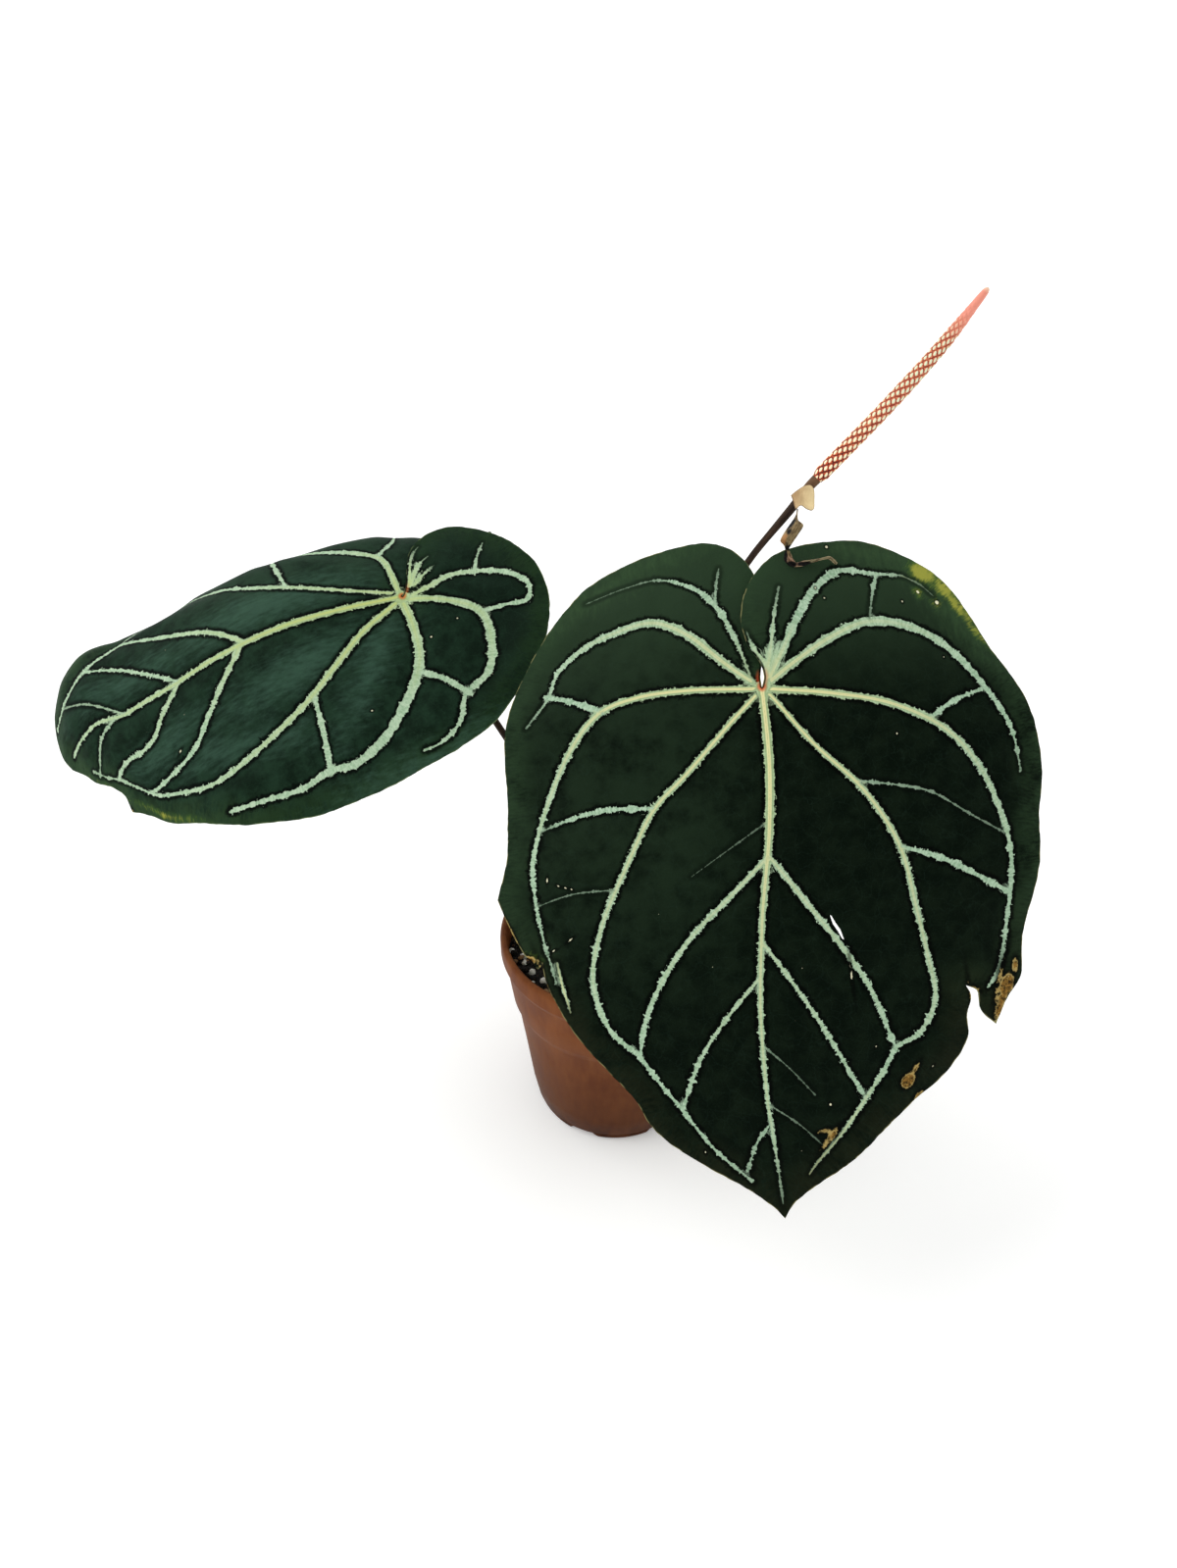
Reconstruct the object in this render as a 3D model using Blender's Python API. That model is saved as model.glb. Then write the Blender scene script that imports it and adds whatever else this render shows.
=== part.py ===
# A potted anthurium: a thin plastic pot of soil, a short crown, two velvet leaves with
# pale nets of veins on dark stalks, and a flower stalk with a dried spathe and a spadix.
# The drawing dimensions are millimetres, and the meshes are made in metres.
# +X is to the right of the plant seen from its front, -Y is its front, and +Z is up.
# The origin is on the floor, on the pot's axis.

import math

import bmesh
import bpy
import numpy as np
from mathutils import Vector
from mathutils.geometry import delaunay_2d_cdt

MM = 0.001

# Pot and soil
POT_RIM_RADIUS = 60.0
POT_HEIGHT = 116.0
POT_BASE_RADIUS = 41.4
POT_WALL = 1.2
POT_SIDES = 48
FOOT_HEIGHT = 2.2
FOOT_NOTCH_DEPTH = 1.9
FOOT_NOTCHES = 6
FOOT_NOTCH_ANGLE = math.radians(-118.0)
DRAIN_HOLES = 6
DRAIN_RADIUS = 4.0
DRAIN_CIRCLE = 27.0
CENTRE_PAD_RADIUS = 12.0
SOIL_SIDES = 32
SOIL_LEVEL = 103.0
SOIL_LUMPS = 1.5
FIT_GAP = 0.3

# Crown, the short stem that all the stalks grow from
CROWN_RADIUS = 9.2
CROWN_DEPTH = 10.7
CROWN_TOP = 114.0
CROWN_SIDES = 20

# Leaves
BLADE_THICKNESS = 0.8
VEIN_THICKNESS = 0.6
VEIN_GAP = 0.3
RIB_HEIGHT = 0.9
HUB_RADIUS = 5.5
LOBE_LIFT = 1.8
FOLD_START = 34.0
FOLD_WIDTH = 26.0
MARGIN_STEP = 11.0
VEIN_STEP = 15.0
MIDRIB_STEP = 14.0
FIELD_STEP = 17.0

# Flower
SPADIX_COLUMNS = 16
SPADIX_ROWS = 62
FLORET_RELIEF = 0.27
SPATHE_THICKNESS = 0.7


for old in list(bpy.data.objects):
    bpy.data.objects.remove(old, do_unlink=True)


def material(name, colour, roughness, sheen=0.0):
    """A plain Principled material of one colour."""
    made = bpy.data.materials.new(name)
    made.use_nodes = True
    shader = made.node_tree.nodes["Principled BSDF"]
    shader.inputs["Base Color"].default_value = (*colour, 1.0)
    shader.inputs["Roughness"].default_value = roughness
    shader.inputs["Metallic"].default_value = 0.0
    shader.inputs["Sheen Weight"].default_value = sheen
    made.diffuse_color = (*colour, 1.0)
    return made


def add_object(name, data, look):
    """Put a mesh or curve in the scene under its node name."""
    data.materials.append(look)
    made = bpy.data.objects.new(name, data)
    bpy.context.scene.collection.objects.link(made)
    return made


def mesh_object(name, mesh_builder, look, crease_degrees=40.0):
    """Finish a bmesh drawn in millimetres as a smooth-shaded object in metres."""
    bmesh.ops.scale(mesh_builder, vec=(MM, MM, MM), verts=mesh_builder.verts)
    mesh = bpy.data.meshes.new(name)
    mesh_builder.to_mesh(mesh)
    mesh_builder.free()
    mesh.shade_smooth()
    mesh.set_sharp_from_angle(angle=math.radians(crease_degrees))
    return add_object(name, mesh, look)


def hermite(knots, values, slopes, at):
    """A cubic through the values and slopes at the knots, held level past both ends."""
    i = int(np.clip(np.searchsorted(knots, at) - 1, 0, len(knots) - 2))
    span = knots[i + 1] - knots[i]
    u = min(max((at - knots[i]) / span, 0.0), 1.0)
    start = (1 + 2 * u) * (1 - u) ** 2 * values[i] + u * (1 - u) ** 2 * span * slopes[i]
    end = u * u * (3 - 2 * u) * values[i + 1] + u * u * (u - 1) * span * slopes[i + 1]
    return start + end


def along_stations(stations, at):
    """A value given at stations along a leaf, eased between them without overshoot."""
    knots, values = np.array(stations, float).T
    rises = np.diff(values) / np.diff(knots)
    slopes = np.concatenate([rises[:1], np.zeros(len(rises) - 1), rises[-1:]])
    for i in range(1, len(rises)):
        if rises[i - 1] * rises[i] > 0:
            slopes[i] = 2 * rises[i - 1] * rises[i] / (rises[i - 1] + rises[i])
    return hermite(knots, values, slopes, at)


def smooth_path(points, step):
    """Points about one step apart on a smooth curve through hand-set points."""
    points = np.asarray(points, float)
    legs = np.linalg.norm(np.diff(points, axis=0), axis=1)
    knots = np.concatenate([[0.0], np.cumsum(np.sqrt(legs))])
    slopes = np.gradient(points, knots, axis=0)
    path = [points[0]]
    for i, leg in enumerate(legs):
        pieces = max(1, round(leg / step))
        for k in range(1, pieces + 1):
            at = knots[i] + (knots[i + 1] - knots[i]) * k / pieces
            path.append(hermite(knots, points, slopes, at))
    return np.array(path)


def smoothstep(x):
    """0 below 0, 1 above 1, and an even ramp between."""
    x = min(max(x, 0.0), 1.0)
    return x * x * (3 - 2 * x)


def turned(profile, sides):
    """Spin a closed-off profile of (radius, height) points about +Z."""
    body = bmesh.new()
    points = [body.verts.new((radius, 0.0, height)) for radius, height in profile]
    edges = [body.edges.new(pair) for pair in zip(points, points[1:])]
    bmesh.ops.spin(body, geom=points + edges, cent=(0, 0, 0), axis=(0, 0, 1),
                   angle=2 * math.pi, steps=sides, use_merge=True)
    bmesh.ops.remove_doubles(body, verts=body.verts, dist=0.001)
    bmesh.ops.recalc_face_normals(body, faces=body.faces)
    return body


# Pot: one thin shell with a taper, a stacking step, a rolled lip and a ring of feet. The middle
# of its base comes down to the floor too, and the drain holes are in the raised ring between.

pot_look = material("terracotta_plastic", (0.30, 0.125, 0.072), 0.45)
pot_outside = [
    (POT_BASE_RADIUS, 0.0), (43.4, 4.0), (45.6, 17.0), (49.0, 45.0), (52.6, 72.5),
    (54.7, 77.0), (57.8, 102.0), (POT_RIM_RADIUS, 105.5), (POT_RIM_RADIUS, POT_HEIGHT - 1.5),
    (POT_RIM_RADIUS - 1.0, POT_HEIGHT), (POT_RIM_RADIUS - 2.4, POT_HEIGHT),
]
pot_inside = [
    (57.8 - POT_WALL, 104.0), (54.7 - POT_WALL, 77.5), (52.6 - POT_WALL, 73.0),
    (45.6 - POT_WALL, 17.0), (43.4 - POT_WALL, 5.6), (POT_BASE_RADIUS - 4.4, FOOT_HEIGHT + POT_WALL),
    (CENTRE_PAD_RADIUS + 3.2, FOOT_HEIGHT + POT_WALL), (CENTRE_PAD_RADIUS + 0.7, POT_WALL),
    (0.0, POT_WALL),
]
pot_underside = [
    (0.0, 0.0), (CENTRE_PAD_RADIUS, 0.0), (CENTRE_PAD_RADIUS + 2.5, FOOT_HEIGHT),
    (POT_BASE_RADIUS - 4.2, FOOT_HEIGHT), (POT_BASE_RADIUS - 3.6, 0.0),
]
pot_profile = pot_outside + pot_inside + pot_underside
pot = turned(pot_profile + pot_profile[:1], POT_SIDES)

notch_reach = 1.2 * 2 * math.pi / POT_SIDES
for vert in pot.verts:
    if vert.co.z < 0.01 and vert.co.xy.length > 2 * CENTRE_PAD_RADIUS:
        turn = math.atan2(vert.co.y, vert.co.x) - FOOT_NOTCH_ANGLE
        pitch = 2 * math.pi / FOOT_NOTCHES
        from_notch = abs((turn + pitch / 2) % pitch - pitch / 2)
        if from_notch < notch_reach:
            vert.co.z = FOOT_NOTCH_DEPTH

pot_object = mesh_object("pot", pot, pot_look, 30.0)
for k in range(DRAIN_HOLES):
    angle = FOOT_NOTCH_ANGLE + 2 * math.pi * k / DRAIN_HOLES
    bpy.ops.mesh.primitive_cylinder_add(
        vertices=12, radius=DRAIN_RADIUS * MM, depth=4 * POT_WALL * MM,
        location=(DRAIN_CIRCLE * math.cos(angle) * MM, DRAIN_CIRCLE * math.sin(angle) * MM,
                  (FOOT_HEIGHT + POT_WALL / 2) * MM))
    cutter = bpy.context.object
    cutter.name = f"drain_cutter_{k}"
    cutter.hide_render = True
    cutter.display_type = "WIRE"
    drain = pot_object.modifiers.new(f"drain_{k}", "BOOLEAN")
    drain.operation = "DIFFERENCE"
    drain.object = cutter


# Soil: a plug that fills the pot, lumpy on top, with one plain hole for the crown

def lumps(x, y):
    """Height of the soil's lumps at a place, in millimetres."""
    coarse = math.sin(0.19 * x + 1.3) * math.cos(0.16 * y - 0.4)
    fine = math.sin(0.53 * x - 0.31 * y) * math.cos(0.47 * y + 0.2 * x + 2.0)
    return SOIL_LUMPS * (0.6 * coarse + 0.7 * fine)


soil_look = material("dark_potting_soil", (0.022, 0.016, 0.012), 0.95)
hole_radius = CROWN_RADIUS + FIT_GAP
soil_side = [(radius - FIT_GAP, height + FIT_GAP) for radius, height in pot_inside[-2:0:-1]]
soil_bottom = pot_inside[-1][1] + FIT_GAP
soil_rings = [(56.0 - FIT_GAP, SOIL_LEVEL - 2.0)]
soil_rings += [(radius, SOIL_LEVEL) for radius in (51.0, 43.5, 36.0, 28.5, 21.0, 14.5)]
soil_hole = [(hole_radius, SOIL_LEVEL), (hole_radius, SOIL_LEVEL - CROWN_DEPTH),
             (0.0, SOIL_LEVEL - CROWN_DEPTH)]
soil = turned([(0.0, soil_bottom), *soil_side, *soil_rings, *soil_hole], SOIL_SIDES)
for vert in soil.verts:
    if abs(vert.co.z - SOIL_LEVEL) < 0.01:
        vert.co.z += lumps(vert.co.x, vert.co.y)
mesh_object("soil", soil, soil_look, 60.0)


# Crown: a short knobbly stem, ringed by old leaf scars, flat where the stalks leave it

crown_look = material("brown_crown", (0.085, 0.055, 0.030), 0.8)
crown_bottom = SOIL_LEVEL - CROWN_DEPTH + FIT_GAP
crown_profile = [
    (0.0, crown_bottom), (CROWN_RADIUS - 0.6, crown_bottom), (CROWN_RADIUS, crown_bottom + 1.0),
    (CROWN_RADIUS, SOIL_LEVEL - 1.5), (CROWN_RADIUS - 0.5, 105.5), (CROWN_RADIUS + 0.4, 107.5),
    (CROWN_RADIUS - 0.5, 109.0), (CROWN_RADIUS + 0.2, 111.2), (CROWN_RADIUS - 0.4, CROWN_TOP),
    (0.0, CROWN_TOP),
]
crown = turned(crown_profile, CROWN_SIDES)
mesh_object("crown", crown, crown_look, 35.0)


# Leaf blades. A leaf is drawn flat, in plan coordinates (a, b): b runs along the midrib from
# the stalk to the tip, and a is across it, positive on the leaf's right half. The plan is then
# laid over a guide curve, rolled about the midrib and curled towards each side, where its outer
# part can fold down further.

class Leaf:
    def __init__(self, guide, roll, curl_right, curl_left, fold_left, sway, waves, margins, tip, veins):
        points = np.asarray(guide[0] + guide[1], float)
        self.path = smooth_path(points, 2.0)
        run = np.concatenate([[0.0], np.cumsum(np.linalg.norm(np.diff(self.path, axis=0), axis=1))])
        start = int(np.argmin(np.linalg.norm(self.path - np.asarray(guide[1][0], float), axis=1)))
        self.run = run - run[start]
        self.tangents = np.gradient(self.path, self.run, axis=0)
        self.roll = roll
        self.curl = {1: curl_right, -1: curl_left}
        self.fold = {1: [(0, 0), (1, 0)], -1: fold_left}
        self.sway = sway
        self.waves = waves
        self.margins = margins
        self.tip = tip
        self.veins = veins

    def lift(self, a, b, side):
        """The right lobe passes over the left one where they meet behind the stalk."""
        near_sinus = 1.0 - smoothstep((abs(a) - 8.0) / 27.0)
        return side * LOBE_LIFT * smoothstep(-b / 8.0) * near_sinus

    def ripple(self, a, b):
        """Slow waves that grow towards the margin."""
        height, length, phase = self.waves
        return height * (a / 100.0) ** 2 * math.sin(2 * math.pi * b / length + phase)

    def section(self, a, b, side):
        """How far a point lies across and above the midrib, and its slope there."""
        roll = math.radians(along_stations(self.roll, b))
        curl = math.radians(along_stations(self.curl[side], b))
        fold = math.radians(along_stations(self.fold[side], b)) * side
        steps = np.linspace(0.0, a, 25)
        folded = [smoothstep((abs(step) - FOLD_START) / FOLD_WIDTH) for step in steps]
        angles = roll + curl * steps + fold * np.array(folded)
        middles = (angles[1:] + angles[:-1]) / 2
        across = (np.cos(middles) * np.diff(steps)).sum()
        above = -(np.sin(middles) * np.diff(steps)).sum()
        return roll, across, above, angles[-1]

    def place(self, a, b, side):
        """The point and the upward normal of the blade's middle surface at a plan point."""
        on_path = min(max(b, self.run[0]), self.run[-1])
        point = np.array([np.interp(on_path, self.run, self.path[:, k]) for k in range(3)])
        along = np.array([np.interp(on_path, self.run, self.tangents[:, k]) for k in range(3)])
        along /= np.linalg.norm(along)
        point = point + (b - on_path) * along
        across = np.cross((0.0, 0.0, 1.0), along)
        across /= np.linalg.norm(across)
        up = np.cross(along, across)
        roll, shift, rise, angle = self.section(a, b, side)
        sway = along_stations(self.sway, b)
        point = point + (sway * math.cos(roll) + shift) * across
        point = point + (rise - sway * math.sin(roll)) * up
        normal = math.sin(angle) * across + math.cos(angle) * up
        return point + (self.lift(a, b, side) + self.ripple(a, b)) * normal, normal


def inside(point, polygon):
    """Whether a plan point lies inside a closed outline."""
    hits = 0
    for (a0, b0), (a1, b1) in zip(polygon, np.roll(polygon, -1, axis=0)):
        if (b0 > point[1]) != (b1 > point[1]):
            hits += point[0] < a0 + (point[1] - b0) * (a1 - a0) / (b1 - b0)
    return hits % 2 == 1


def distance(point, line):
    """Distance from a plan point to a line of points, and how far along it the foot is."""
    starts, legs = line[:-1], np.diff(line, axis=0)
    along = ((point - starts) * legs).sum(axis=1) / np.maximum((legs * legs).sum(axis=1), 1e-9)
    along = np.clip(along, 0.0, 1.0)
    gaps = np.linalg.norm(starts + along[:, None] * legs - point, axis=1)
    nearest = int(gaps.argmin())
    return gaps[nearest], (nearest + along[nearest]) / len(legs)


def vein_strip(line, half_widths):
    """The outline of a vein of varying width along a line of plan points."""
    along = np.gradient(line, axis=0)
    along /= np.linalg.norm(along, axis=1)[:, None]
    across = np.stack([along[:, 1], -along[:, 0]], axis=1) * half_widths[:, None]
    return np.concatenate([line + across, (line - across)[::-1]])


def drawn_veins(leaf, side):
    """Centre lines and half widths of the veins on one side, the midrib among them."""
    drawn = []
    for place, start_width, end_width, points in leaf.veins:
        if place in (side, 0):
            line = smooth_path(points, VEIN_STEP if place else MIDRIB_STEP)
            drawn.append((line, np.linspace(start_width, end_width, len(line)) / 2))
    return drawn


def half_plan(leaf, side):
    """Split one half of a leaf into triangles: plan points, blade triangles, vein triangles."""
    margin = [np.array([0.0, 0.0])]
    for run in leaf.margins[side]:
        margin += list(smooth_path(run, MARGIN_STEP)[1:])
    outline = np.array(margin)
    veins = drawn_veins(leaf, side)
    hub = [(HUB_RADIUS * math.cos(t), HUB_RADIUS * math.sin(t))
           for t in np.linspace(0.0, 2 * math.pi, 12, endpoint=False) + math.pi / 12]
    shapes = [outline, np.array(hub)] + [vein_strip(line, widths) for line, widths in veins]
    points, faces, edges = [], [], []
    for shape in shapes:
        after = np.roll(shape, -1, axis=0)
        if (shape[:, 0] * after[:, 1] - shape[:, 1] * after[:, 0]).sum() < 0:
            shape = shape[::-1]
        faces.append(list(range(len(points), len(points) + len(shape))))
        points += [tuple(p) for p in shape]
    fixed_lines = [np.concatenate([shape, shape[:1]]) for shape in shapes]
    for line, widths in veins:
        if widths.max() > 0.9:
            kept = line[1:-1]
            edges += [(len(points) + i, len(points) + i + 1) for i in range(len(kept) - 1)]
            points += [tuple(p) for p in kept]
    rows = FIELD_STEP * math.sqrt(0.75)
    for j, b in enumerate(np.arange(-80.0, leaf.tip, rows)):
        for a in np.arange(-120.0 + (j % 2) * FIELD_STEP / 2, 120.0, FIELD_STEP):
            spot = np.array([a, b])
            clear = min(distance(spot, line)[0] for line in fixed_lines)
            if clear > 0.45 * FIELD_STEP and inside(spot, outline):
                points.append((a, b))
    result = delaunay_2d_cdt([Vector(p) for p in points], edges, faces, 0, 1e-4)
    plan, triangles, sources = result[0], result[2], result[5]
    blade = [(t, len(s) > 1) for t, s in zip(triangles, sources) if 0 in s]
    return [tuple(p) for p in plan], blade, veins


def thick_sheet(name, points, triangles, look):
    """A closed plate between two surfaces that share one set of triangles."""
    plate = bmesh.new()
    used = sorted({i for t in triangles for i in t})
    upper = {i: plate.verts.new(points[i][0]) for i in used}
    lower = {i: plate.verts.new(points[i][1]) for i in used}
    rims = {}
    for a, b, c in triangles:
        plate.faces.new((upper[a], upper[b], upper[c]))
        plate.faces.new((lower[c], lower[b], lower[a]))
        for edge in ((a, b), (b, c), (c, a)):
            rims[edge] = rims.get(edge, 0) + 1
    for a, b in rims:
        if (b, a) not in rims:
            plate.faces.new((upper[b], upper[a], lower[a], lower[b]))
    bmesh.ops.recalc_face_normals(plate, faces=plate.faces)
    return mesh_object(name, plate, look, 50.0)


def leaf_nodes(name, leaf, blade_look, vein_look):
    """Build a leaf's blade, ribbed below, and the pale net of veins that lies on it."""
    blade_points, vein_points, blade_faces, vein_faces = [], [], [], []
    shared = {}
    for side in (1, -1):
        plan, faces, veins = half_plan(leaf, side)
        numbers = []
        for a, b in plan:
            on_midrib = abs(a) < 0.002 and b > -0.002
            key = (0, round(b, 2)) if on_midrib else (side, round(a, 4), round(b, 4))
            if key not in shared:
                shared[key] = len(blade_points)
                spot = np.array([0.0 if on_midrib else a, b])
                point, normal = leaf.place(spot[0], spot[1], side)
                rib = 0.0
                for line, widths in veins:
                    gap, along = distance(spot, line)
                    half = np.interp(along, np.linspace(0, 1, len(widths)), widths)
                    if widths.max() > 0.9:
                        rib = max(rib, RIB_HEIGHT * (1.0 - gap / half))
                rib *= smoothstep((np.linalg.norm(spot) - HUB_RADIUS) / 8.0)
                top = BLADE_THICKNESS / 2
                seat = top + VEIN_GAP
                blade_points.append((point + top * normal, point - (top + rib) * normal))
                vein_points.append((point + (seat + VEIN_THICKNESS) * normal, point + seat * normal))
            numbers.append(shared[key])
        for triangle, is_vein in faces:
            corners = tuple(numbers[i] for i in triangle)
            if len(set(corners)) == 3:
                blade_faces.append(corners)
                if is_vein:
                    vein_faces.append(corners)
    thick_sheet(name, blade_points, blade_faces, blade_look)
    thick_sheet(f"{name}_veins", vein_points, vein_faces, vein_look)


blade_front_look = material("velvet_leaf_dark", (0.011, 0.024, 0.013), 0.6, sheen=0.3)
blade_left_look = material("velvet_leaf_blue_green", (0.016, 0.042, 0.026), 0.5, sheen=0.3)
vein_look = material("pale_mint_vein", (0.50, 0.66, 0.47), 0.55)

# Front leaf: hangs face-on, its right lobe laid over its left, with a torn, browned flap
front_leaf = Leaf(
    guide=([(52, -4, 321), (53.7, -28, 306.3)],
           [(55, -50, 289), (56.4, -78, 260.6), (57.5, -102.6, 229), (58.4, -124.3, 195.4),
            (59.3, -143.9, 160.6), (60.2, -157.8, 134), (61, -169, 112)]),
    roll=[(-60, -7), (200, -7)],
    curl_right=[(-60, 0.17), (200, 0.17)],
    curl_left=[(-60, 0.17), (200, 0.17)],
    fold_left=[(0, 0), (1, 0)],
    sway=[(-1, 0), (30, 1), (55, 0), (95, -4), (125, -5), (160, -3), (190, 1), (215, 4)],
    waves=(1.6, 62.0, 0.6),
    tip=215.0,
    margins={
        1: [[(0, 0), (1.2, -4), (0, -9), (-4, -17), (-6, -28), (-4, -39), (1, -49), (10, -58),
             (22, -63), (37, -65), (50, -64), (65, -57), (78, -47), (88, -33), (97, -15), (105, 1),
             (110, 18), (113, 38), (110, 56), (110, 80), (107, 104), (106, 118), (99, 127), (94, 137)],
            [(94, 137), (88, 131), (86.5, 123), (82, 121)],
            [(82, 121), (84, 125), (82, 132), (82, 142), (72, 157), (59, 167), (48, 176), (30, 191),
             (13, 202), (4, 209), (0, 215)]],
        -1: [[(0, 0), (-1.5, -5), (0, -14), (3, -28), (4, -42), (1, -56), (-5, -65), (-15, -70),
              (-30, -69), (-50, -64.5), (-68, -56.5), (-82, -44), (-91, -33), (-101, -16), (-107, 5),
              (-110, 30), (-109, 50), (-107, 68), (-110, 85)],
             [(-110, 85), (-104, 95), (-98, 105), (-94, 111), (-89, 113)],
             [(-89, 113), (-85, 122), (-74, 143), (-63, 156), (-53, 167), (-49, 176), (-43, 183),
              (-29, 193), (-14, 202), (-4, 210), (0, 215)]],
    },
    veins=[
        (0, 5.0, 1.2, [(0, 2), (0, 55), (0, 110), (0, 165), (0, 209)]),
        (1, 3.0, 1.4, [(3, -6), (5, -17), (7, -28), (11, -43)]),
        (1, 3.2, 1.8, [(3.5, -4), (9, -14), (17, -29), (26, -42), (37, -50), (50, -48), (62, -47)]),
        (1, 1.5, 1.4, [(52, -47.5), (49, -38), (46, -26)]),
        (1, 3.8, 1.4, [(4, -2.5), (16, -11), (30, -20), (45, -26), (62, -24), (75, -17), (85, -6),
                       (93, 7), (99, 19), (103, 36)]),
        (1, 3.8, 1.4, [(4, 1), (28, 4), (51, 9), (72, 20), (87, 38), (95, 59), (98, 79), (98, 96),
                       (95, 110), (91, 118)]),
        (1, 3.4, 1.4, [(3, 3.5), (18, 24), (37, 43), (51, 64), (59, 85), (66, 108), (69, 125), (62, 139),
                       (53, 144), (47, 154), (35, 169), (20, 185), (12, 195)]),
        (1, 2.0, 2.0, [(65, 15), (76, 8), (89, 3)]),
        (1, 1.4, 1.4, [(34, 39), (50, 41), (64, 44), (80, 53), (93, 60)]),
        (1, 2.2, 2.2, [(52, 65), (69, 70), (86, 78), (98, 84)]),
        (1, 2.3, 2.3, [(1, 68), (16, 85), (32, 104), (44, 122), (52, 143)]),
        (1, 1.8, 1.8, [(1, 102), (13, 118), (24, 135), (38, 163)]),
        (1, 1.2, 1.2, [(0.6, 143), (10, 152), (19, 163)]),
        (1, 1.2, 1.2, [(0.6, 167), (11, 175), (19, 184)]),
        (-1, 3.4, 1.4, [(-3, 3.5), (-14, 14), (-33, 34), (-46, 48), (-57, 75), (-65, 100), (-67, 118),
                        (-60, 139), (-50, 148), (-43, 158), (-35, 169), (-24, 186), (-11, 199)]),
        (-1, 3.6, 1.4, [(-4, 0.5), (-30, -1), (-50, 0), (-66, 5), (-81, 22), (-91, 43), (-95, 66),
                        (-93, 84), (-88, 105), (-84, 116), (-79, 126)]),
        (-1, 4.0, 1.4, [(-4, -3), (-15, -13), (-28, -26), (-42, -34), (-58, -32), (-72, -27), (-84, -17),
                        (-88, -5), (-98, 8)]),
        (-1, 2.8, 1.4, [(-4, -5), (-9, -23), (-15, -38), (-22, -47), (-37, -54), (-51, -53), (-69, -49)]),
        (-1, 1.5, 1.2, [(-15.5, -39), (-14, -49), (-12, -57)]),
        (-1, 2.0, 2.0, [(-65, 5), (-78, -2), (-89, -6)]),
        (-1, 2.2, 2.2, [(-46, 47), (-67, 47), (-83, 51), (-93, 55)]),
        (-1, 1.4, 1.4, [(-58, 80), (-77, 82), (-93, 88)]),
        (-1, 2.4, 2.2, [(-1, 69), (-13, 83), (-28, 100), (-39, 118), (-46, 135), (-49, 148)]),
        (-1, 1.7, 1.5, [(-0.8, 116), (-15, 134), (-25, 149), (-34, 169)]),
        (-1, 1.4, 1.2, [(-0.5, 175), (-7, 183), (-12.5, 195)]),
        (-1, 1.2, 1.2, [(-1, 54), (-16, 65), (-29, 75)]),
    ],
)
leaf_nodes("front_leaf", front_leaf, blade_front_look, vein_look)

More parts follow.
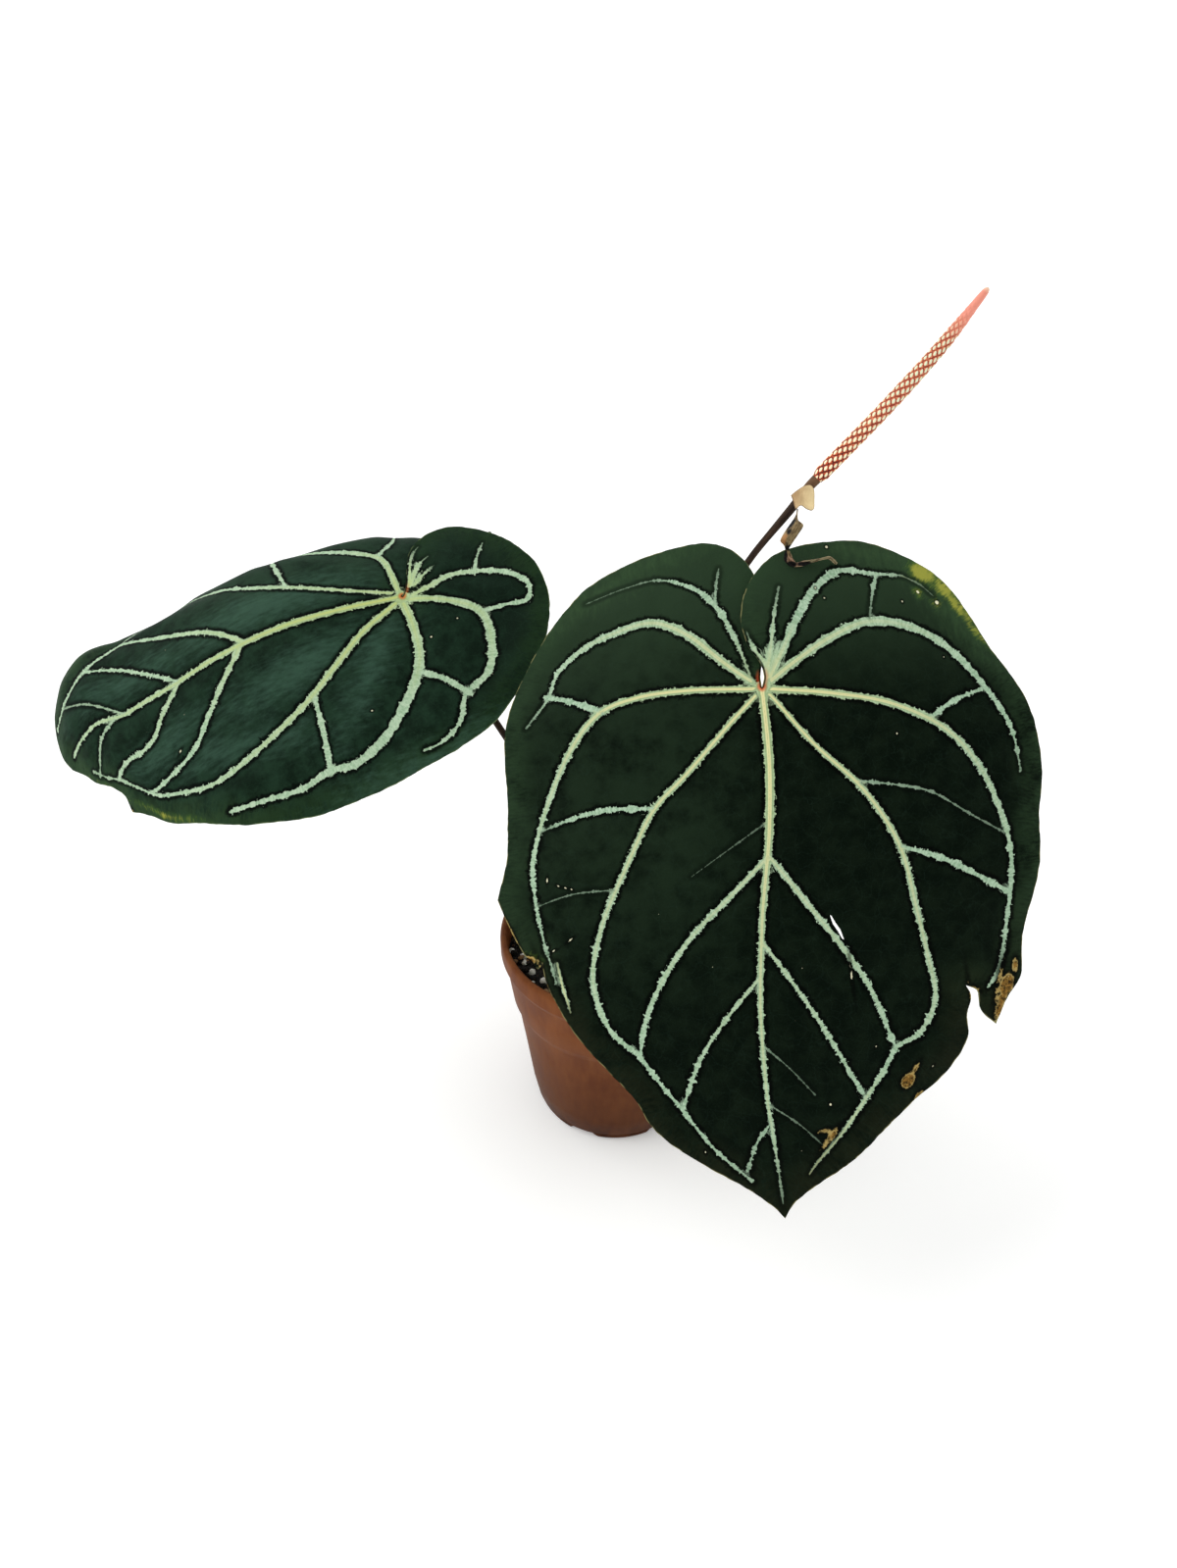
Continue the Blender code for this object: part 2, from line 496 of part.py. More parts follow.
# Left leaf: drapes over its midrib, its near half facing forward and its far half hanging behind
left_leaf = Leaf(
    guide=([(-38, 66, 299), (-68.7, 54.8, 287.9)],
           [(-101, 42, 284), (-124.2, 32.8, 282.4), (-147.4, 24.2, 279.1), (-170.3, 16.7, 272.5),
            (-192.8, 10.7, 263.4), (-215.1, 6.5, 252.9), (-236.1, 4.1, 239.6), (-248.9, 3.6, 227.1),
            (-257, 4, 215)]),
    roll=[(-50, 22), (0, 30), (50, 35), (100, 37), (140, 44), (180, 54)],
    curl_right=[(-60, 0.15), (0, 0.15), (100, 0.1), (180, 0)],
    curl_left=[(-50, 1.2), (0, 0.66), (50, 0.86), (100, 0.92), (140, 0.85), (180, 0.75)],
    fold_left=[(-60, 30), (60, 30), (98, 10), (130, 24), (185, 34)],
    sway=[(-1, 0), (60, -1), (90, 0), (120, 3), (138, 3), (160, -3), (175, -3), (186, 0)],
    waves=(1.2, 55.0, 1.9),
    tip=186.0,
    margins={
        1: [[(0, 0), (1, -4), (-3, -9), (-14, -13), (-27, -18), (-35, -26), (-35, -37), (-28, -47),
             (-15, -56), (-3, -61), (10, -64), (27, -62), (41, -55), (54, -45), (65, -31), (74, -19),
             (79, -5), (84, 16), (88, 37), (89, 60), (87, 78), (80, 97), (68, 117), (57, 140), (51, 156),
             (45, 166)],
            [(45, 166), (37, 164), (30, 168), (20, 177), (10, 181), (0, 186)]],
        -1: [[(0, 0), (-1.5, -4), (-3, -12), (-6, -26), (-12, -42), (-24, -53), (-40, -54), (-56, -45),
              (-70, -28), (-80, -8), (-86, 16), (-88, 40), (-87, 62), (-82, 84), (-73, 106), (-62, 128),
              (-52, 146), (-42, 162), (-32, 175), (-20, 184), (-8, 187), (0, 186)]],
    },
    veins=[
        (0, 3.6, 1.6, [(0, 2), (0, 45), (0, 90), (0, 135), (0, 179)]),
        (1, 3.0, 1.6, [(3, 4), (14, 23), (27, 40), (38, 57), (48, 84), (52, 107), (46, 131), (36, 153),
                       (29, 161), (22, 169), (15, 174)]),
        (1, 4.2, 1.6, [(4, 0.5), (17, 0), (33, 2), (48, 10), (64, 26), (73, 45), (72, 61), (74, 75),
                       (71, 93), (67, 108)]),
        (1, 3.6, 1.6, [(3, -3), (9, -19), (20, -31), (37, -30), (50, -24), (57, -12), (68, -6), (75, 5),
                       (76, 12)]),
        (1, 3.0, 2.8, [(39, 5), (47, -6), (57, -14)]),
        (1, 2.6, 2.0, [(1.5, -4.5), (-1, -14), (-4, -25), (-1, -38), (6, -49), (18, -56), (25, -52),
                       (22, -42), (20, -31)]),
        (1, 1.6, 1.4, [(-1.5, -36.5), (-9, -41), (-16, -47)]),
        (1, 2.6, 2.0, [(0.8, 77), (11, 89), (22, 101), (32, 112), (37, 127), (40, 145)]),
        (1, 2.2, 2.0, [(0.8, 110), (10, 122), (18, 131), (22, 148), (29, 161)]),
        (1, 1.4, 1.4, [(0.6, 146), (8, 158), (16, 167), (20, 172)]),
        (1, 2.8, 2.6, [(38, 54), (54, 56), (73, 60)]),
        (-1, 3.4, 1.6, [(-4, 1), (-12, 1), (-26, 3), (-33, 12), (-42, 29), (-54, 50), (-62, 72),
                        (-63, 94), (-58, 112)]),
        (-1, 1.8, 1.6, [(-28, 4), (-40, -7), (-56, -9), (-68, 4)]),
        (-1, 2.0, 1.6, [(-3, 4), (-10, 25), (-20, 48), (-28, 63), (-40, 80), (-49, 98), (-52, 114),
                        (-48, 127), (-41, 138)]),
        (-1, 2.0, 1.8, [(-21, 49), (-38, 51), (-55, 52)]),
        (-1, 2.6, 1.8, [(-0.8, 75), (-13, 87), (-24, 104), (-36, 125), (-41, 137), (-37, 145), (-28, 157),
                        (-22, 170), (-19, 180)]),
        (-1, 1.8, 1.8, [(-0.8, 110), (-14, 125), (-26, 141), (-30, 155)]),
        (-1, 1.4, 1.2, [(-0.6, 140), (-10, 154), (-21, 170)]),
        (-1, 2.6, 1.6, [(-4, -4), (-10, -20), (-24, -36), (-42, -38), (-60, -26), (-70, -10)]),
    ],
)
leaf_nodes("left_leaf", left_leaf, blade_left_look, vein_look)


# Stalks: round, dark, thickest at the foot and again at the joint under each leaf

def stalk(name, points, radii, look):
    """A round stalk through hand-set points; the radii are spread evenly along it."""
    path = smooth_path(points, 13.0)
    curve = bpy.data.curves.new(name, "CURVE")
    curve.dimensions = "3D"
    curve.bevel_depth = MM
    curve.bevel_resolution = 3
    curve.use_fill_caps = True
    spline = curve.splines.new("POLY")
    spline.points.add(len(path) - 1)
    ends = np.linspace(0.0, 1.0, len(radii))
    for i, point in enumerate(path):
        spline.points[i].co = (*(point * MM), 1.0)
        spline.points[i].radius = float(np.interp(i / (len(path) - 1), ends, radii))
    return add_object(name, curve, look)


def seat_under(leaf):
    """Where a stalk ends under its leaf, and the way down from there, square to the blade."""
    point, normal = leaf.place(0.0, 3.0, 1)
    return point - (BLADE_THICKNESS / 2 + FIT_GAP) * normal, -normal


stalk_look = material("dark_brown_stalk", (0.024, 0.012, 0.008), 0.45)
stalk_foot = CROWN_TOP + FIT_GAP

front_seat, front_down = seat_under(front_leaf)
front_route = [(4.4, -3.4, stalk_foot), (4.6, -3.5, 120), (6.0, -4.8, 130), (12, -9, 160), (25, -17, 208), (41, -29, 252)]
front_route += [tuple(front_seat + 12 * front_down + np.array([-2.0, 0.0, -2.0])), tuple(front_seat + 4 * front_down)]
front_route += [tuple(front_seat)]
stalk("front_petiole", front_route, [2.8, 2.1, 1.8, 1.7, 1.7, 1.9, 2.2], stalk_look)

left_seat, left_down = seat_under(left_leaf)
left_route = [(-4.8, -1.4, stalk_foot), (-5.0, -1.4, 120), (-7.6, -0.8, 130), (-18, 2, 158), (-36, 8, 196), (-53, 16, 222)]
left_route += [(-75, 31, 250), tuple(left_seat + 11 * left_down + np.array([3.0, -1.0, -1.0]))]
left_route += [tuple(left_seat + 4 * left_down), tuple(left_seat)]
stalk("left_petiole", left_route, [2.8, 2.1, 1.8, 1.65, 1.65, 1.8, 2.1], stalk_look)

SPADIX_AXIS = [(78.2, 3.8, 355.2), (91.0, 7.2, 368.4), (104.7, 12.6, 381.7), (124.0, 22.0, 401.0),
               (142.9, 33.3, 421.7)]
spadix_start = np.array(SPADIX_AXIS[0])
spadix_way = np.array(SPADIX_AXIS[1]) - spadix_start
spadix_way /= np.linalg.norm(spadix_way)
flower_route = [(1.2, 4.8, stalk_foot), (1.3, 4.8, 120), (2.6, 5.2, 132), (9, 6, 168), (22, 3, 226), (37, 0, 280)]
flower_route += [(47.9, -0.8, 312), (54.5, 1.2, 320.9 + 2), (69.1, -0.2, 345)]
flower_route += [tuple(spadix_start - reach * spadix_way) for reach in (4.0, 1.5, FIT_GAP)]
stalk("peduncle", flower_route, [2.6, 1.9, 1.5, 1.4, 1.4, 1.4, 1.4, 1.5, 2.0], stalk_look)


# Spadix: a tapering spike of tightly packed florets, raised as a lattice of diamonds

spadix_look = material("coral_spadix", (0.62, 0.19, 0.12), 0.5)
spadix_path = smooth_path(SPADIX_AXIS, 0.5)
spadix_run = np.concatenate([[0.0], np.cumsum(np.linalg.norm(np.diff(spadix_path, axis=0), axis=1))])
spadix_length = spadix_run[-1]
SPADIX_TAPER = [(0.0, 2.3), (0.03, 3.05), (0.5, 3.0), (0.75, 2.6), (0.88, 1.95), (0.96, 1.5), (1.0, 0.8)]

spadix = bmesh.new()
rings = []
for row in range(SPADIX_ROWS + 1):
    share = row / SPADIX_ROWS
    centre = np.array([np.interp(share * spadix_length, spadix_run, spadix_path[:, k]) for k in range(3)])
    ahead = np.array([np.interp(share * spadix_length + 0.5, spadix_run, spadix_path[:, k]) for k in range(3)])
    behind = np.array([np.interp(share * spadix_length - 0.5, spadix_run, spadix_path[:, k]) for k in range(3)])
    along = (ahead - behind) / np.linalg.norm(ahead - behind)
    across = np.cross(along, (0.0, 1.0, 0.0))
    across /= np.linalg.norm(across)
    other = np.cross(along, across)
    radius = np.interp(share, *zip(*SPADIX_TAPER))
    relief = FLORET_RELIEF * smoothstep(share * 30) * (1 - smoothstep((share - 0.85) / 0.13))
    ring = []
    for column in range(SPADIX_COLUMNS):
        turn = 2 * math.pi * column / SPADIX_COLUMNS
        height = radius + relief * (1 if (row + column) % 2 else -1)
        ring.append(spadix.verts.new(centre + height * (math.cos(turn) * across + math.sin(turn) * other)))
    rings.append(ring)
for row, (ring, above) in enumerate(zip(rings, rings[1:])):
    for column in range(SPADIX_COLUMNS):
        after = (column + 1) % SPADIX_COLUMNS
        quad = (ring[column], ring[after], above[after], above[column])
        if (row + column) % 2:
            spadix.faces.new((quad[0], quad[1], quad[2]))
            spadix.faces.new((quad[0], quad[2], quad[3]))
        else:
            spadix.faces.new((quad[0], quad[1], quad[3]))
            spadix.faces.new((quad[1], quad[2], quad[3]))
spadix.faces.new(rings[0][::-1])
spadix.faces.new(rings[-1])
bmesh.ops.recalc_face_normals(spadix, faces=spadix.faces)
mesh_object("spadix", spadix, spadix_look, 60.0)


# Spathe: the withered bract, a straw-coloured collar at the node with a dried, curled strip
# hanging from it. Both are drawn in a flat view of the node: x right, y up and z forward.

NODE_CENTRE = np.array([72.2, 0.9, 350.2])
VIEW_DOWN_ANGLE = math.radians(35.0)
view_right = np.array([1.0, 0.0, 0.0])
view_up = np.array([0.0, math.sin(VIEW_DOWN_ANGLE), math.cos(VIEW_DOWN_ANGLE)])
view_forward = np.array([0.0, -math.cos(VIEW_DOWN_ANGLE), math.sin(VIEW_DOWN_ANGLE)])


def from_view(x, y, z):
    """A point of the flat view of the node, in the plant's own frame."""
    return NODE_CENTRE + x * view_right + y * view_up + z * view_forward


spathe_look = material("withered_spathe", (0.36, 0.26, 0.15), 0.75)
collar_outline = [(-4.4, 0.4, 0.8), (-1.2, 3.0, 1.6), (1.6, 4.4, 2.2), (4.2, 3.2, 1.6), (4.6, -0.8, 2.6),
                  (4.2, -5.4, 4.2), (2.4, -5.2, 4.0), (-0.6, -4.1, 3.2), (-2.8, -5.2, 2.4), (-3.8, -2.4, 1.2)]
collar_middle = (0.2, -0.4, 3.4)
collar_points = []
for x, y, z in collar_outline + [collar_middle]:
    face, back = from_view(x, y, z + SPATHE_THICKNESS), from_view(x, y, z)
    collar_points.append((face, back))
middle = len(collar_outline)
collar_faces = [(i, (i + 1) % middle, middle) for i in range(middle)]
collar = thick_sheet("spathe", collar_points, collar_faces, spathe_look)

STRIP_ROUTE = [(-2.0, -3.6, 3.2), (-1.8, -7.1, 4.0), (-2.8, -11.1, 4.6), (-4.8, -15.5, 4.0),
               (-6.2, -19.9, 0.5), (-5.8, -23.4, -3.4), (-2.8, -26.6, -6.4), (1.6, -26.8, -7.4),
               (8.7, -25.2, -7.9), (13.9, -26.6, -7.9)]
STRIP_WIDTHS = [1.8, 1.2, 3.6, 5.0, 3.0, 2.4, 3.0, 2.6, 2.2, 1.4]
strip_path = smooth_path([from_view(*p) for p in STRIP_ROUTE], 3.0)
strip = bmesh.new()
sections = []
for i, point in enumerate(strip_path):
    share = i / (len(strip_path) - 1)
    ahead = strip_path[min(i + 1, len(strip_path) - 1)] - strip_path[max(i - 1, 0)]
    ahead /= np.linalg.norm(ahead)
    across = np.cross(ahead, view_forward)
    across /= np.linalg.norm(across)
    out = np.cross(across, ahead)
    half = np.interp(share, np.linspace(0, 1, len(STRIP_WIDTHS)), STRIP_WIDTHS) / 2
    curl = 0.45 * half
    drawn = [(-half, curl), (0.0, 0.0), (half, curl), (half, curl + SPATHE_THICKNESS),
             (0.0, SPATHE_THICKNESS), (-half, curl + SPATHE_THICKNESS)]
    sections.append([strip.verts.new(point + x * across + z * out) for x, z in drawn])
for section, after in zip(sections, sections[1:]):
    for k in range(6):
        strip.faces.new((section[k], section[(k + 1) % 6], after[(k + 1) % 6], after[k]))
for end in (sections[0], sections[-1]):
    strip.faces.new((end[0], end[1], end[4], end[5]))
    strip.faces.new((end[1], end[2], end[3], end[4]))
bmesh.ops.recalc_face_normals(strip, faces=strip.faces)
strip_object = mesh_object("dried_strip", strip, spathe_look)

join = collar.modifiers.new("join_strip", "BOOLEAN")
join.operation = "UNION"
join.object = strip_object
strip_object.hide_render = True
strip_object.display_type = "WIRE"
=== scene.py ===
import math

import bpy
import numpy as np
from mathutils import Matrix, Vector, noise
from mathutils.geometry import delaunay_2d_cdt


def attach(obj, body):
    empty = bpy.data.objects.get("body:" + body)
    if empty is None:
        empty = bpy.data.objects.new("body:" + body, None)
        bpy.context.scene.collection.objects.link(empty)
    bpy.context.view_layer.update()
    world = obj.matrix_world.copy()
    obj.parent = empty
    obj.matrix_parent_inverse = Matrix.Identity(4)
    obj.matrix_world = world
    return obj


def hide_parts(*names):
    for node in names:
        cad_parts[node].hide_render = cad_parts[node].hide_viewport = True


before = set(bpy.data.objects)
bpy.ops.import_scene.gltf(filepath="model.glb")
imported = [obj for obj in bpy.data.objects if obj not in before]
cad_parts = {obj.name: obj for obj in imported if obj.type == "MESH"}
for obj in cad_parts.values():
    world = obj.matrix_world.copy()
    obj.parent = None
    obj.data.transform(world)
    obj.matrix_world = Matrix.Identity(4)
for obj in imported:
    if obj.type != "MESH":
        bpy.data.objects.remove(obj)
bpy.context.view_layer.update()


# Studio: the plant stands on a white floor that glows a little, lit by a white tent and one broad
# soft lamp high on the left. The camera looks at it from the front and above, as in the photo.

def paint(colour):
    """A colour from its usual six digits, as the light values that a shader takes; a wire stays a wire."""
    if not isinstance(colour, str):
        return colour
    shares = [int(colour[i:i + 2], 16) / 255 for i in (0, 2, 4)]
    return tuple(s / 12.92 if s <= 0.04045 else ((s + 0.055) / 1.055) ** 2.4 for s in shares) + (1.0,)


class Wire:
    """One output socket in a material; arithmetic on it adds the Math nodes."""

    def __init__(self, tree, socket=None):
        self.tree, self.socket = tree, socket

    def node(self, kind, settings, sockets, output=0):
        """Any node: its settings come first, then the values or links of its sockets."""
        made = self.tree.nodes.new(kind)
        for setting, value in settings.items():
            setattr(made, setting, value)
        for name, value in sockets.items():
            if isinstance(value, Wire):
                self.tree.links.new(value.socket, made.inputs[name])
            else:
                made.inputs[name].default_value = value
        return Wire(self.tree, made.outputs[output])

    def maths(self, operation, *values):
        return self.node("ShaderNodeMath", {"operation": operation}, dict(enumerate(values)))

    def vectors(self, operation, *values, output=0):
        return self.node("ShaderNodeVectorMath", {"operation": operation}, dict(enumerate(values)), output)

    def __add__(self, other):
        return self.maths("ADD", self, other)

    def __sub__(self, other):
        return self.maths("SUBTRACT", self, other)

    def __rsub__(self, other):
        return self.maths("SUBTRACT", other, self)

    def __mul__(self, other):
        return self.maths("MULTIPLY", self, other)

    __radd__ = __add__
    __rmul__ = __mul__

    def most(self, other):
        return self.maths("MAXIMUM", self, other)

    def ease(self, zero_at, one_at):
        """A soft ramp from 0 at one value to 1 at another."""
        return self.node("ShaderNodeMapRange", {"interpolation_type": "SMOOTHSTEP"},
                         {"Value": self, "From Min": zero_at, "From Max": one_at})

    def blend(self, first, second):
        """This value mixes one colour into another."""
        colours = {6: paint(first), 7: paint(second)}
        return self.node("ShaderNodeMix", {"data_type": "RGBA"}, {0: self, **colours}, 2)

    def place(self):
        """The place on the plant, in metres."""
        return self.node("ShaderNodeTexCoord", {}, {}, "Object")

    def field(self, name, output="Fac"):
        """A field of values that the mesh holds."""
        return self.node("ShaderNodeAttribute", {"attribute_name": name}, {}, output)

    def part(self, axis):
        """One coordinate of this vector."""
        return self.node("ShaderNodeSeparateXYZ", {}, {0: self}, axis)

    def join(self, *parts):
        """A vector from three values."""
        return self.node("ShaderNodeCombineXYZ", {}, dict(enumerate(parts)))

    def stretch(self, *scale):
        """This vector, scaled by an amount for each axis."""
        return self.vectors("MULTIPLY", self, scale)

    def shifted(self, other, amount):
        """This vector, pushed about by a noise colour."""
        centred = self.vectors("SUBTRACT", other, (0.5, 0.5, 0.5))
        return self.vectors("MULTIPLY_ADD", centred, (amount, amount, amount), self)

    def cloud(self, size, detail=2.0, rough=0.5, output=0):
        """Noise over this vector, with features of about that size."""
        return self.node("ShaderNodeTexNoise", {}, {"Vector": self, "Scale": 1.0 / size, "Detail": detail,
                                                    "Roughness": rough}, output)

    def cells(self, size, feature="F1"):
        """Distance in a cell pattern over this vector, in cells of about that size."""
        return self.node("ShaderNodeTexVoronoi", {"feature": feature}, {"Vector": self, "Scale": 1.0 / size})

    def bump(self, depth, strength=1.0):
        """A fine relief of this depth in metres."""
        return self.node("ShaderNodeBump", {}, {"Height": self, "Distance": depth, "Strength": strength})

    def feed(self, **wires):
        """Link what varies over the surface to the shader."""
        shader = self.tree.nodes["Principled BSDF"]
        for name, wire in wires.items():
            self.tree.links.new(wire.socket, shader.inputs[name.replace("_", " ")])


def new_finish(name, **constants):
    """A material with the values that its shader keeps all over, and a wire to start from."""
    made = bpy.data.materials.new(name)
    made.use_nodes = True
    for socket, value in constants.items():
        made.node_tree.nodes["Principled BSDF"].inputs[socket.replace("_", " ")].default_value = value
    return made, Wire(made.node_tree)


bpy.ops.object.select_all(action="DESELECT")
bpy.ops.mesh.primitive_plane_add(size=120.0, location=(0, 0, -0.0002))
floor = bpy.context.object
floor.name = "studio_floor"
floor_finish, wire = new_finish("lit_floor", Roughness=0.9, Specular_IOR_Level=0.1,
                                Emission_Color=(1.0, 1.0, 1.0, 1.0), Emission_Strength=0.18)
wire.feed(Base_Color=wire.place().cloud(0.6).blend("fafaf9", "fcfcfc"))
floor.data.materials.append(floor_finish)

bpy.context.scene.view_settings.view_transform = "Standard"
tent = bpy.data.worlds.new("white_tent")
tent.use_nodes = True
tent.node_tree.nodes["Background"].inputs["Color"].default_value = (1.0, 1.0, 1.0, 1.0)
tent.node_tree.nodes["Background"].inputs["Strength"].default_value = 0.8
bpy.context.scene.world = tent

lamp_data = bpy.data.lights.new("soft_lamp", "SUN")
lamp_data.energy = 1.5
lamp_data.angle = math.radians(50.0)
lamp = bpy.data.objects.new("soft_lamp", lamp_data)
lamp.rotation_euler = Vector((0.78, -0.1, -0.95)).to_track_quat("-Z", "Y").to_euler()
bpy.context.scene.collection.objects.link(lamp)

CAMERA_DOWN = math.radians(35.0)
camera_data = bpy.data.cameras.new("photo_camera")
camera_data.lens = 27.0
camera_data.sensor_width = 36.0
camera_data.clip_start = 0.01
camera = bpy.data.objects.new("photo_camera", camera_data)
camera.location = (-0.0142, -0.457, 0.527)
camera.rotation_euler = (math.radians(90.0) - CAMERA_DOWN, 0.0, 0.0)
bpy.context.scene.collection.objects.link(camera)
bpy.context.scene.camera = camera


# Pot: a thin nursery pot of terracotta-brown polypropylene, vacuum formed in one piece, with a
# stacking step, a rolled lip, dips in its foot ring and six drain holes in the raised base.

MM = 0.001


def turn_up(name, profile, sides):
    """A closed round body, drawn up ring by ring through (radius, height) stations."""
    bpy.ops.object.select_all(action="DESELECT")
    radius, height = profile[0]
    bpy.ops.mesh.primitive_circle_add(vertices=sides, radius=radius * MM, fill_type="NGON",
                                      location=(0, 0, height * MM))
    body = bpy.context.object
    body.name = name
    bpy.ops.object.mode_set(mode="EDIT")
    for next_radius, next_height in profile[1:]:
        bpy.ops.mesh.extrude_region_move(
            TRANSFORM_OT_translate={"value": (0, 0, (next_height - height) * MM)})
        bpy.ops.transform.resize(value=(next_radius / radius, next_radius / radius, 1.0))
        radius, height = next_radius, next_height
    bpy.ops.mesh.select_all(action="SELECT")
    bpy.ops.mesh.normals_make_consistent(inside=False)
    bpy.ops.object.mode_set(mode="OBJECT")
    bpy.ops.object.transform_apply(location=True, rotation=True, scale=True)
    return body


def settle(piece, look, slot, *nodes, crease=35.0):
    """Smooth a finished piece, give it its material, and set it in the plant."""
    bpy.ops.object.select_all(action="DESELECT")
    bpy.context.view_layer.objects.active = piece
    piece.select_set(True)
    bpy.ops.object.shade_smooth_by_angle(angle=math.radians(crease))
    piece.select_set(False)
    piece.data.materials.clear()
    piece.data.materials.append(look)
    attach(piece, "root")
    if nodes:
        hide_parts(*nodes)


base_pad = [(0.4, 0.0), (12.0, 0.0), (14.5, 2.2)]
foot_ring = [(37.2, 2.2), (37.8, 0.0), (41.1, 0.0), (41.8, 0.4), (42.3, 1.4), (42.4, 2.5), (41.9, 3.1),
             (42.6, 3.6)]
outer_wall = [(43.4, 4.6), (45.6, 17.0), (47.3, 31.0), (49.0, 45.0), (50.8, 58.7), (52.4, 71.4), (52.8, 72.6),
              (54.2, 76.0), (54.7, 77.2), (56.2, 89.0), (57.6, 100.8), (58.0, 102.0), (59.3, 104.4)]
rolled_lip = [(59.8, 105.2), (60.0, 106.2), (60.0, 112.8), (59.8, 114.4), (59.2, 115.5), (58.3, 116.0),
              (57.4, 115.8), (56.8, 115.0), (56.6, 113.6)]
inner_wall = [(56.5, 104.4), (53.6, 77.7), (51.4, 73.0), (44.4, 17.0), (42.2, 5.8), (41.0, 4.0), (39.4, 3.4)]
inner_pad = [(15.2, 3.4), (12.7, 1.2), (0.4, 1.2)]
pot = turn_up("pot_shell", base_pad + foot_ring + outer_wall + rolled_lip + inner_wall + inner_pad, 144)

FOOT_DIPS = 6
FIRST_DIP = math.radians(-114.0)
DIP_HALF_WIDTH = 6.8
DIP_RAMP = 1.2
FOOT_RADIUS = 41.0
DRAIN_REACH = 27.0
for point in pot.data.vertices:
    radius, height = point.co.xy.length / MM, point.co.z / MM
    # Within a dip, the underside of the foot ring rises to a slope just above the base
    if height < 3.3 and radius > 37.5:
        turn = (math.atan2(point.co.y, point.co.x) - FIRST_DIP) / (2 * math.pi / FOOT_DIPS)
        from_dip = abs(turn - round(turn)) * 2 * math.pi * FOOT_RADIUS / FOOT_DIPS
        raised = 2.2 + 0.33 * (radius - 37.8)
        if from_dip < DIP_HALF_WIDTH and raised > height:
            point.co.z += (raised - height) * MM * min(1.0, (DIP_HALF_WIDTH - from_dip) / DIP_RAMP)

for k in range(FOOT_DIPS):
    turn = FIRST_DIP + 2 * math.pi * k / FOOT_DIPS
    x, y = DRAIN_REACH * math.cos(turn), DRAIN_REACH * math.sin(turn)
    bpy.ops.object.select_all(action="DESELECT")
    bpy.ops.mesh.primitive_cylinder_add(vertices=32, radius=4.0 * MM, depth=4.8 * MM,
                                        location=(x * MM, y * MM, 2.8 * MM))
    punch = bpy.context.object
    drain = pot.modifiers.new("drain_hole", "BOOLEAN")
    drain.operation = "DIFFERENCE"
    drain.solver = "EXACT"
    drain.object = punch
    bpy.context.view_layer.objects.active = pot
    bpy.ops.object.modifier_apply(modifier="drain_hole")
    bpy.data.objects.remove(punch, do_unlink=True)

pot_finish, wire = new_finish("terracotta_plastic", Specular_IOR_Level=0.04)
place = wire.place()
streaks = place.stretch(1.0, 1.0, 0.25).cloud(0.004, 4.0)
tone = (0.55 * place.cloud(0.022, 4.0) + 0.45 * streaks).ease(0.3, 0.7).blend("63351c", "7a4827")
dusty = (place.cloud(0.006, 6.0, 0.7) * 0.6 + 0.4 * place.cloud(0.0011, 3.0)).ease(0.53, 0.7)
tone = (dusty * 0.15).blend(tone, "98724e")
low = place.part("Z")
# Dark splashes of dirt near the foot, and a painted shade that darkens the whole pot towards its foot
splashed = low.ease(0.018, 0.0) * place.cloud(0.005, 5.0).ease(0.42, 0.62)
tone = (splashed * 0.3 + low.ease(0.105, 0.0) * 0.62).blend(tone, "331a0d")
wire.feed(Base_Color=tone, Roughness=0.42 + 0.2 * dusty + 0.08 * streaks,
          Normal=(0.7 * place.cloud(0.0006, 3.0) + 0.6 * streaks).bump(0.00018, 0.8))
settle(pot, pot_finish, "pot", "pot")


# Potting mix: a moist, nearly black bed of peat and fine bark that fills the pot, with white
# grains of expanded perlite and tan chips of bark lying in its crumbs.

SOIL_LEVEL = 103.0
STREWN_FROM, STREWN_TO = 11.0, 54.3


def soil_height(x, y):
    """Height of the mix at a place, in millimetres."""
    coarse = math.sin(0.19 * x + 1.3) * math.cos(0.16 * y - 0.4)
    fine = math.sin(0.53 * x - 0.31 * y) * math.cos(0.47 * y + 0.2 * x + 2.0)
    rough = noise.noise((x / 3.1, y / 3.1, 4.0)) + 0.6 * noise.noise((x / 1.3, y / 1.3, 9.0))
    from_edge = 1.0 - min(1.0, max(0.0, (math.hypot(x, y) - 50.0) / 6.0))
    return SOIL_LEVEL - 2.0 * (1 - from_edge) + 1.5 * (0.6 * coarse + 0.7 * fine) * from_edge + 0.9 * rough


bed_shape = [(0.5, 3.8), (14.0, 3.8), (39.0, 3.9), (41.5, 6.0), (44.0, 17.3), (50.9, 73.2), (53.1, 77.9)]
bed_shape += [(55.9, 100.5)] + [(r, SOIL_LEVEL) for r in np.arange(55.4, 8.0, -1.4)] + [(0.5, SOIL_LEVEL)]
bed = turn_up("soil_bed", bed_shape, 120)
for point in bed.data.vertices:
    if point.co.z > 102.9 * MM:
        point.co.z = soil_height(point.co.x / MM, point.co.y / MM) * MM

soil_finish, wire = new_finish("moist_potting_mix", Roughness=0.9, Specular_IOR_Level=0.3)
crumb, mixed = wire.place().cells(0.0016), wire.place().cloud(0.0035, 5.0, 0.7)
tone = crumb.ease(0.15, 0.5).blend(mixed.ease(0.35, 0.7).blend("120d0a", "3a2a1e"), "0b0806")
wire.feed(Base_Color=tone, Normal=(crumb + mixed).bump(0.0011))
settle(bed, soil_finish, "soil", "soil", crease=60.0)


